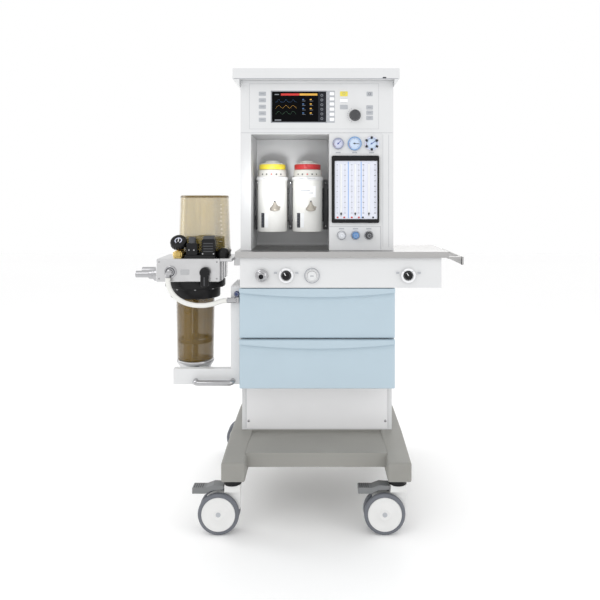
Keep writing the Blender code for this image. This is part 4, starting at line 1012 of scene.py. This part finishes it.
def make_canister():
    centre = middle("canister_cup")
    x, y = centre.x, centre.y
    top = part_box("canister_collar")[1].z
    collar = Piece("canister_clamp")
    collar.lathe([
        (0, top), (0.095, top), (0.0986, top - 0.0014), (0.1, top - 0.005), (0.1, 0.7226),
        (0.0984, 0.7196), (0.095, 0.7184), (0.0842, 0.7176), (0.083, 0.716), (0.083, 0.689),
        (0.0818, 0.6856), (0.079, 0.684), (0, 0.684)
    ], (x, y, 0), "black_plastic", UP, 108)
    for k in range(9):
        angle = tau * k / 9
        spot = (x + 0.0885 * cos(angle), y + 0.0885 * sin(angle), 0)
        collar.turned([(0, 718.6), (4, 718.6), (4, 716.2), (2.8, 715.2), (0, 715.2)],
                      spot, "chrome", UP, 16)
    collar.done("chassis", "black_plastic", "canister_collar")
    low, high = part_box("absorber_canister")
    jar = Piece("clear_canister")
    jar.lathe([
        (0.0612, high.z), (0.0636, high.z), (0.064, high.z - 0.003), (0.0628, 0.6),
        (0.0611, low.z + 0.007), (0.06, low.z + 0.002), (0.0575, low.z), (0, low.z), (0, low.z + 0.003),
        (0.057, low.z + 0.0032), (0.0582, low.z + 0.006), (0.0596, 0.6)
    ], (x, y, 0), "canister_amber", UP, 96, loop=True)
    jar.lathe([
        (0, high.z - 0.002), (0.0085, high.z - 0.002), (0.0085, 0.56), (0.0125, 0.556), (0.0125, 0.522),
        (0.0085, 0.518), (0.0085, low.z + 0.0034), (0, low.z + 0.0034)
    ], (x, y, 0), "bellows_black", UP, 40)
    jar.turned([(7.5, 3), (11, 3), (11.6, 0), (11, -3), (7.5, -3)],
               (x - 0.018, y - 0.05, 0.644), "brass", FRONT, 40, loop=True)
    jar.lathe([(0, high.z - 0.003), (0.013, high.z - 0.003), (0.013, low.z + 0.004), (0, low.z + 0.004)],
              (x - 0.022, y - 0.02, 0), "filler_beige", UP, 40)
    jar.turned([(48, 544), (57, 544), (57.6, 542), (57, 533), (48, 533)],
               (x, y, 0), "dark_grey_plastic", UP, 72, loop=True)
    for k in range(3):
        angle = tau * k / 3 + 0.5
        spoke = [(x + r * cos(angle), y + r * sin(angle), 0.5385) for r in (0.008, 0.05)]
        jar.sweep(spoke, circle(0.0025, 10), "dark_grey_plastic", up=(0, 0, 1))
    jar.done("chassis", "amber_clear", "absorber_canister")
    z0, z1 = (corner.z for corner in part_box("canister_cup"))
    cup = Piece("canister_seat")
    cup.lathe([
        (0, z1), (0.0596, z1), (0.0614, z1 - 0.0012), (0.062, z1 - 0.004), (0.0616, z1 - 0.01),
        (0.059, z1 - 0.015), (0.0535, z1 - 0.022), (0.0518, z1 - 0.03), (0.0506, z1 - 0.042),
        (0.048, z1 - 0.046), (0.032, z1 - 0.049), (0.03, z1 - 0.052), (0.03, z0), (0, z0)
    ], (x, y, 0), "block_metal", UP, 96)
    cup.lathe([
        (0.0622, z1 - 0.0034), (0.0628, z1 - 0.0048), (0.0626, z1 - 0.007), (0.061, z1 - 0.0078),
        (0.06, z1 - 0.004)
    ], (x, y, 0), "chrome", UP, 96, loop=True)
    cup.turned([(0, 9), (8, 8.6), (12.5, 6.6), (14, 4), (14.4, -8), (0, -8)],
               (x + 0.01, y - 0.05, 0.456), "ink_dark", FRONT, 40)
    cup.done("chassis", "block_metal", "canister_cup")


def make_arm_details():
    low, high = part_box("tray_handle")
    z, radius = (low.z + high.z) / 2, (high.z - low.z) / 2
    y0, y1 = high.y, low.y + radius
    left, right, bend = low.x + radius, high.x - radius, 0.014
    angles = [radians(15 * k) for k in range(7)]
    path = [(left, y0, z)]
    path += [(left + bend * (1 - cos(a)), y1 + bend * (1 - sin(a)), z) for a in angles]
    path += [(right - bend * (1 - sin(a)), y1 + bend * (1 - cos(a)), z) for a in angles]
    path.append((right, y0, z))
    handle = Piece("tray_handle_bar")
    handle.sweep(path, circle(radius, 24), "chrome", up=(0, 0, 1))
    handle.done("chassis", "chrome", "tray_handle")
    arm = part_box("support_arm")
    socket = Piece("sensor_socket")
    at = (-0.193, arm[0].y, 0.705)
    socket.turned([(0, 12), (5, 12), (6.4, 11.2), (8.2, 9.6), (8.6, 8), (8.6, 1), (9.2, 0.2), (0, 0.2)],
                  at, "connector_blue", FRONT, 48)
    socket.turned([(5.2, 11.6), (6.6, 11.2), (6.4, 12.4), (5.4, 12.6)],
                  at, "chrome", FRONT, 40, loop=True)
    socket.done("chassis", "chrome")


make_camera()
make_looks()
make_hose()
make_casters()
make_lower_details()
make_apron_details()
make_screen()
make_keys()
make_gauge("left", "gauge_grey", "face_lavender", 45, "needle_blue")
make_gauge("middle", "gauge_blue", "face_blue", -4, "ink_dark")
make_gauge("right", "face_lavender", "face_blue", 32, "needle_blue", lobes=6)
make_flowmeter()
make_vaporizer("left", "dial_yellow")
make_vaporizer("right", "dial_red")
make_upper_details()
make_bellows_group()
make_block()
make_valves()
make_canister()
make_arm_details()
make_stage()
